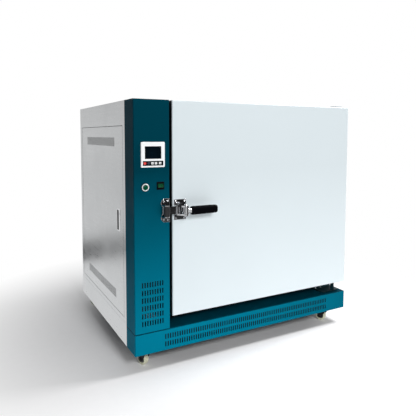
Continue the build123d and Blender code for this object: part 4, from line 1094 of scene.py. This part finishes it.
@dataclass
class MainDoor(SubAssembly):
    """Insulated door with its hinges.

    Attributes:
        screw_depth: Distance of the screws from the plates' rear edge.
        screw_insets: Their distances from the plates' left edge.
        shade_strip_inset: Distance of the painted shade strip on the latch-side edge from the
            door's front.
        shade_strip_depth: Depth of the painted shade strip into the door's edge.
    """

    screw: ScrewHead = field(default_factory=lambda: ScrewHead(4.5 * MM, 1.2 * MM))
    plate: float = 5 * MM
    screw_depth: float = 62 * MM
    screw_insets: Pair = (14 * MM, 44 * MM)
    shade_strip_inset: float = 7 * MM
    shade_strip_depth: float = 0.5 * MM
    pale: Triple = (0.5, 0.53, 0.55)

    def __post_init__(self) -> None:
        """Lists the nodes."""
        low, high = corners_of("door_skin")
        # Painted shade: the latch-side edge is near black behind its front, the shade of the gap
        # at the column.
        edge = Patch(
            (low.x - MARGIN, low.y + self.shade_strip_inset, low.z - MARGIN),
            (low.x + self.shade_strip_depth, high.y + MARGIN, high.z + MARGIN),
        )
        skin = replace(PALE, patches=(edge,))
        # Painted light and shade on the hinge brackets: the lower one keeps the near-black painted
        # shade, the upper one is pale.
        low, high = corners_of("door_hinge_brackets")
        middle = (low.z + high.z) / 2
        top = Patch(
            (low.x - MARGIN, low.y - MARGIN, middle),
            (high.x + MARGIN, high.y + MARGIN, high.z + MARGIN),
            self.pale,
        )
        self.finishes = {
            "door_skin": skin,
            "door_liner": CHAMBER_SHEET,
            "door_insulation": MINERAL_WOOL,
            "door_gasket": SILICONE,
            "door_hinge_blocks": ZINC,
            "door_hinge_brackets": replace(HINGE_SHADE_ENAMEL, patches=(top,)),
        }

    def build(self) -> list[bpy.types.Object]:
        """Adds the lower hinge plate's screws.

        Returns:
            The objects made.
        """
        low, high = corners_of("door_hinge_brackets")
        foot = low.z + self.plate
        y = high.y - self.screw_depth
        places = [(low.x + inset, y, foot) for inset in self.screw_insets]
        group = ScrewGroup("hinge_screws", self.screw, places, (0, 0, 1), "cabinet")
        return [group.build(self.wardrobe)]


@dataclass
class DoorLatch(SubAssembly):
    """Lever latch on the door and its strike on the column.

    Attributes:
        strike_insets: Distances of the strike's screws from its right and outer edges.
        plate_inset: Distances of the latch's screws from its side and level edges.
    """

    screw: ScrewHead = field(default_factory=lambda: ScrewHead(4.0 * MM, 1.3 * MM))
    strike_face: float = 3.0 * MM
    plate_face: float = 4.0 * MM
    strike_insets: tuple[Pair, ...] = ((9 * MM, 9 * MM), (25 * MM, 11 * MM))
    plate_inset: Pair = (8 * MM, 7.5 * MM)

    def __post_init__(self) -> None:
        """Lists the nodes."""
        self.finishes = {
            "latch_body": CHROME,
            "latch_bolt": CHROME,
            "latch_lever": CHROME,
            "latch_grip": GRIP_RUBBER,
            "strike_bracket": CHROME,
            "strike_roller": ROLLER_NYLON,
        }

    def build(self) -> list[bpy.types.Object]:
        """Adds the screws of the strike and of the latch's plate.

        Returns:
            The objects made.
        """
        low, high = corners_of("strike_bracket")
        face = high.y - self.strike_face
        middle = (low.z + high.z) / 2
        reach = (high.z - low.z) / 2
        strike = [
            (high.x - right, face, middle + side * (reach - outer))
            for side in (-1, 1)
            for right, outer in self.strike_insets
        ]
        low, high = corners_of("latch_body")
        face = high.y - self.plate_face
        aside, level = self.plate_inset
        plate = [
            (x, face, z)
            for x in (low.x + aside, high.x - aside)
            for z in (low.z + level, high.z - level)
        ]
        groups = (("strike_screws", strike, "cabinet"), ("latch_screws", plate, "door"))
        made = []
        for name, places, body in groups:
            group = ScrewGroup(name, self.screw, places, (0, -1, 0), body, CHROME, "chrome")
            made.append(group.build(self.wardrobe))
        return made


@dataclass
class AccessDoor(SubAssembly):
    """Ventilated side door with its flush lock.

    Attributes:
        recess_shade_front: Front edge of the lock's painted recess shade, from the lock's middle.
        recess_shade_rear: Rear edge of the painted recess shade.
        recess_rim: Height of the plated rim over and under the painted recess shade.
    """

    recess_shade_front: float = -1.6 * MM
    recess_shade_rear: float = 18.5 * MM
    recess_rim: float = 5 * MM

    def __post_init__(self) -> None:
        """Lists the nodes."""
        low, high = corners_of("lock_cup")
        middle = (low + high) / 2
        # Painted shade: the lock's slot is near black, the shade of its recess.
        recess_shade = Patch(
            (low.x - MARGIN, middle.y + self.recess_shade_front, low.z + self.recess_rim),
            (high.x + MARGIN, middle.y + self.recess_shade_rear, high.z - self.recess_rim),
        )
        self.finishes = {
            "side_door": SIDE_SHEET,
            "side_door_pins": ZINC,
            "lock_cup": replace(LOCK_STEEL, patches=(recess_shade,)),
            "lock_cylinder": CHROME,
        }


@dataclass
class Chamber(SubAssembly):
    """Heated chamber with its shelves and air duct."""

    def __post_init__(self) -> None:
        """Lists the nodes."""
        self.finishes = {
            "chamber_liner": CHAMBER_SHEET,
            "chamber_insulation": MINERAL_WOOL,
            "duct_plate": CHAMBER_SHEET,
            "shelf_racks": CHAMBER_SHEET,
            "shelf_1": ROUND_STEEL,
            "shelf_2": ROUND_STEEL,
            "heater_elements": HEATER,
            "temperature_probe": ROUND_STEEL,
            "fan_impeller": ROUND_STEEL,
        }


@dataclass
class ElectricalBay(SubAssembly):
    """Motor, contactor and terminals behind the side door, the last two darkened with painted
    shade.
    """

    def __post_init__(self) -> None:
        """Lists the nodes."""
        self.finishes = {
            "fan_motor": CAST_ALUMINIUM,
            "power_relay": SHADED_CONTACTOR,
            "terminal_block": SHADED_TERMINAL,
        }


@dataclass
class RearServices(SubAssembly):
    """Exhaust spigot with its damper, and the cable gland."""

    screw: ScrewHead = field(default_factory=lambda: ScrewHead(3.8 * MM, 1.8 * MM))
    bolt_circle: float = 38 * MM
    flange_face: float = 53 * MM
    screws: int = 4

    def __post_init__(self) -> None:
        """Lists the nodes."""
        self.finishes = {
            "exhaust_spigot": ROUND_STEEL,
            "exhaust_damper": ROUND_STEEL,
            "cable_gland": BLACK_CASE,
        }

    def build(self) -> list[bpy.types.Object]:
        """Adds the exhaust flange's screws.

        Returns:
            The objects made.
        """
        low, high = corners_of("exhaust_spigot")
        centre = (low + high) / 2
        places = []
        for number in range(self.screws):
            angle = math.pi * (2 * number + 1) / self.screws
            x = centre.x + self.bolt_circle * math.cos(angle)
            z = centre.z + self.bolt_circle * math.sin(angle)
            places.append((x, high.y - self.flange_face, z))
        group = ScrewGroup("exhaust_screws", self.screw, places, (0, 1, 0), "cabinet")
        return [group.build(self.wardrobe)]


@dataclass
class Undercarriage(SubAssembly):
    """Chassis with its four swivel casters."""

    def __post_init__(self) -> None:
        """Lists the nodes."""
        self.finishes = {"base_frame": BLACK_ENAMEL, "caster_plates": BLACK_ENAMEL}
        for joint in frame["record"]["behaviour"]["joints"]:
            if not joint["name"].startswith("roll_"):
                continue
            corner = joint["name"].removeprefix("roll_")
            self.finishes[f"caster_fork_{corner}"] = BLACK_ENAMEL
            self.finishes[f"caster_wheel_{corner}"] = WheelTread(
                f"wheel_{corner}", tuple(joint["pos_m"]), tuple(joint["axis"])
            )


# ------------------------------------------------------------------ studio
def aimed(place: Triple, aim: Triple) -> Matrix:
    """Gives the matrix of a thing at a place whose -Z looks at a point."""
    turn = (Vector(aim) - Vector(place)).to_track_quat("-Z", "Y")
    return Matrix.Translation(place) @ turn.to_matrix().to_4x4()


def sheet_object(name: str, width: float, height: float) -> bpy.types.Object:
    """Makes a flat rectangle in the scene.

    Args:
        name: Name of the object and its mesh.
        width: Its length along X.
        height: Its length along Y.

    Returns:
        The object.
    """
    data = bpy.data.meshes.new(name)
    w, h = width / 2, height / 2
    data.from_pydata([(-w, -h, 0), (w, -h, 0), (w, h, 0), (-w, h, 0)], [], [(0, 1, 2, 3)])
    made = bpy.data.objects.new(name, data)
    bpy.context.collection.objects.link(made)
    return made


@dataclass(frozen=True)
class Card:
    """Dark card beside the set, which only reflections show."""

    name: str
    place: Triple
    aim: Triple
    width: float
    height: float

    def build(self) -> None:
        """Stands the card up."""
        made = sheet_object(self.name, self.width, self.height)
        made.matrix_world = aimed(self.place, self.aim)
        shader = Shader("flag_felt")
        nap = shader.blend(shader.mottle(400, 3), (0.01, 0.01, 0.01), (0.02, 0.02, 0.022))
        shader.feed(nap, "Base Color")
        shader.set(Roughness=0.95)
        made.data.materials.append(shader.material)
        made.visible_camera = False
        made.visible_diffuse = False
        made.visible_shadow = False


@dataclass(frozen=True)
class Lamp:
    """Soft square lamp."""

    name: str
    place: Triple
    aim: Triple
    size: float
    power: float

    def build(self) -> None:
        """Hangs the lamp."""
        data = bpy.data.lights.new(self.name, "AREA")
        data.size = self.size
        data.energy = self.power
        made = bpy.data.objects.new(self.name, data)
        bpy.context.collection.objects.link(made)
        made.matrix_world = aimed(self.place, self.aim)


FRONT = (0, -0.4, 0.6)
LEFT_FRONT = (-0.3, -0.4, 0.6)
LAMPS = (
    Lamp("key", place=(2.4, -0.6, 3.2), aim=(0, -0.3, 0.2), size=1.3, power=170),
    Lamp("front", place=(-0.45, -3.2, 1.9), aim=(0.0, -0.4, 0.45), size=0.7, power=55),
)
CARDS = (
    Card("front_flag", (1.7, -3.4, 1.0), FRONT, width=3.4, height=3.0),
    Card("camera_flag", (-1.5, -3.0, 1.6), LEFT_FRONT, width=1.8, height=0.9),
    Card("left_flag", (-3.2, -1.8, 0.9), LEFT_FRONT, width=1.6, height=2.6),
    Card("floor_flag", (-1.15, 1.5, 0.02), (-1.15, 1.5, 2.0), width=1.3, height=0.62),
    Card("apron_flag", (0.7, -2.6, 0.015), (0.7, -2.6, 2.0), width=2.6, height=3.4),
)


@dataclass
class Studio:
    """Pale floor, white surroundings, soft lamps and the camera.

    Attributes:
        shift_up: Shift of the picture, as a share of its width.
        floor_reach: Half the floor's side.
        fade_start: Distance from the middle where the floor starts to turn white.
        fade_end: Distance where it is white.
        mirrored_white: Share of white that reflections of the floor show.
    """

    eye: Triple = (-1.0951, -2.01595, 0.9143)
    yaw: float = 0.4976
    pitch: float = 0.072
    roll: float = 0.0024
    lens: float = 39.187
    sensor: float = 36
    shift_up: float = -0.0957
    floor_reach: float = 14.0
    fade_start: float = 0.5
    fade_end: float = 1.4
    mirrored_white: float = 0.8
    sky: Triple = (0.93, 0.96, 1)
    sky_power: float = 0.12

    def floor(self) -> None:
        """Lays the floor, which keeps the oven's shadow and fades into white."""
        made = sheet_object("floor", 2 * self.floor_reach, 2 * self.floor_reach)
        shader = Shader("studio_floor")
        grain = shader.blend(shader.mottle(30, 3), (0.86, 0.86, 0.87), (0.88, 0.88, 0.89))
        shader.feed(grain, "Base Color")
        shader.set(Roughness=0.75)
        glow = shader.node("ShaderNodeEmission")
        mix = shader.node("ShaderNodeMixShader")
        output = shader.tree.nodes["Material Output"]
        length = shader.vector("LENGTH", shader.place())
        far = shader.ramp(length.outputs["Value"], self.fade_start, self.fade_end, 0, 1)
        path = shader.node("ShaderNodeLightPath")
        seen = shader.math("MULTIPLY", path.outputs["Is Camera Ray"], far)
        mirrored = shader.math("MULTIPLY", path.outputs["Is Glossy Ray"], self.mirrored_white)
        shader.link(shader.math("ADD", seen, mirrored), mix.inputs[0])
        shader.link(shader.surface.outputs[0], mix.inputs[1])
        shader.link(glow.outputs[0], mix.inputs[2])
        shader.link(mix.outputs[0], output.inputs["Surface"])
        made.data.materials.append(shader.material)

    def surroundings(self) -> None:
        """Makes the surroundings white to the eye and softer as a light."""
        world = bpy.data.worlds.new("studio")
        bpy.context.scene.world = world
        world.use_nodes = True
        tree = world.node_tree
        background = tree.nodes["Background"]
        background.inputs["Color"].default_value = (*self.sky, 1)
        background.inputs["Strength"].default_value = self.sky_power
        seen = tree.nodes.new("ShaderNodeBackground")
        seen.inputs["Color"].default_value = (1, 1, 1, 1)
        path = tree.nodes.new("ShaderNodeLightPath")
        mix = tree.nodes.new("ShaderNodeMixShader")
        either = tree.nodes.new("ShaderNodeMath")
        for source, target in (
            (path.outputs["Is Camera Ray"], either.inputs[0]),
            (path.outputs["Is Glossy Ray"], either.inputs[1]),
            (either.outputs[0], mix.inputs[0]),
            (background.outputs[0], mix.inputs[1]),
            (seen.outputs[0], mix.inputs[2]),
            (mix.outputs[0], tree.nodes["World Output"].inputs["Surface"]),
        ):
            tree.links.new(source, target)

    def camera(self) -> None:
        """Sets the camera."""
        data = bpy.data.cameras.new("camera")
        data.lens = self.lens
        data.sensor_width = self.sensor
        data.shift_y = self.shift_up
        made = bpy.data.objects.new("camera", data)
        bpy.context.collection.objects.link(made)
        across, ahead = math.sin(self.yaw), math.cos(self.yaw)
        flat = math.cos(self.pitch)
        look = Vector((across * flat, ahead * flat, -math.sin(self.pitch)))
        level = Vector((ahead, -across, 0))
        upright = level.cross(look)
        right = level * math.cos(self.roll) + upright * math.sin(self.roll)
        up = right.cross(look)
        turn = Matrix((right, up, -look)).transposed().to_4x4()
        made.matrix_world = Matrix.Translation(self.eye) @ turn
        bpy.context.scene.camera = made

    def build(self) -> None:
        """Sets up the whole studio."""
        bpy.context.scene.view_settings.view_transform = "Standard"
        self.floor()
        self.surroundings()
        for item in (*LAMPS, *CARDS):
            item.build()
        self.camera()


def main() -> None:
    """Dresses every sub-assembly, then sets up the studio."""
    logging.basicConfig(level=logging.INFO)
    wardrobe = Wardrobe()
    kinds = (
        Casing,
        FrontModule,
        ControlPanel,
        MainDoor,
        DoorLatch,
        AccessDoor,
        Chamber,
        ElectricalBay,
        RearServices,
        Undercarriage,
    )
    for kind in kinds:
        part = kind(wardrobe)
        dressed = part.dress()
        added = part.build()
        LOG.info("%s: %d nodes dressed, %d pieces added", kind.__name__, dressed, len(added))
    Studio().build()


if __name__ == "__main__":
    main()
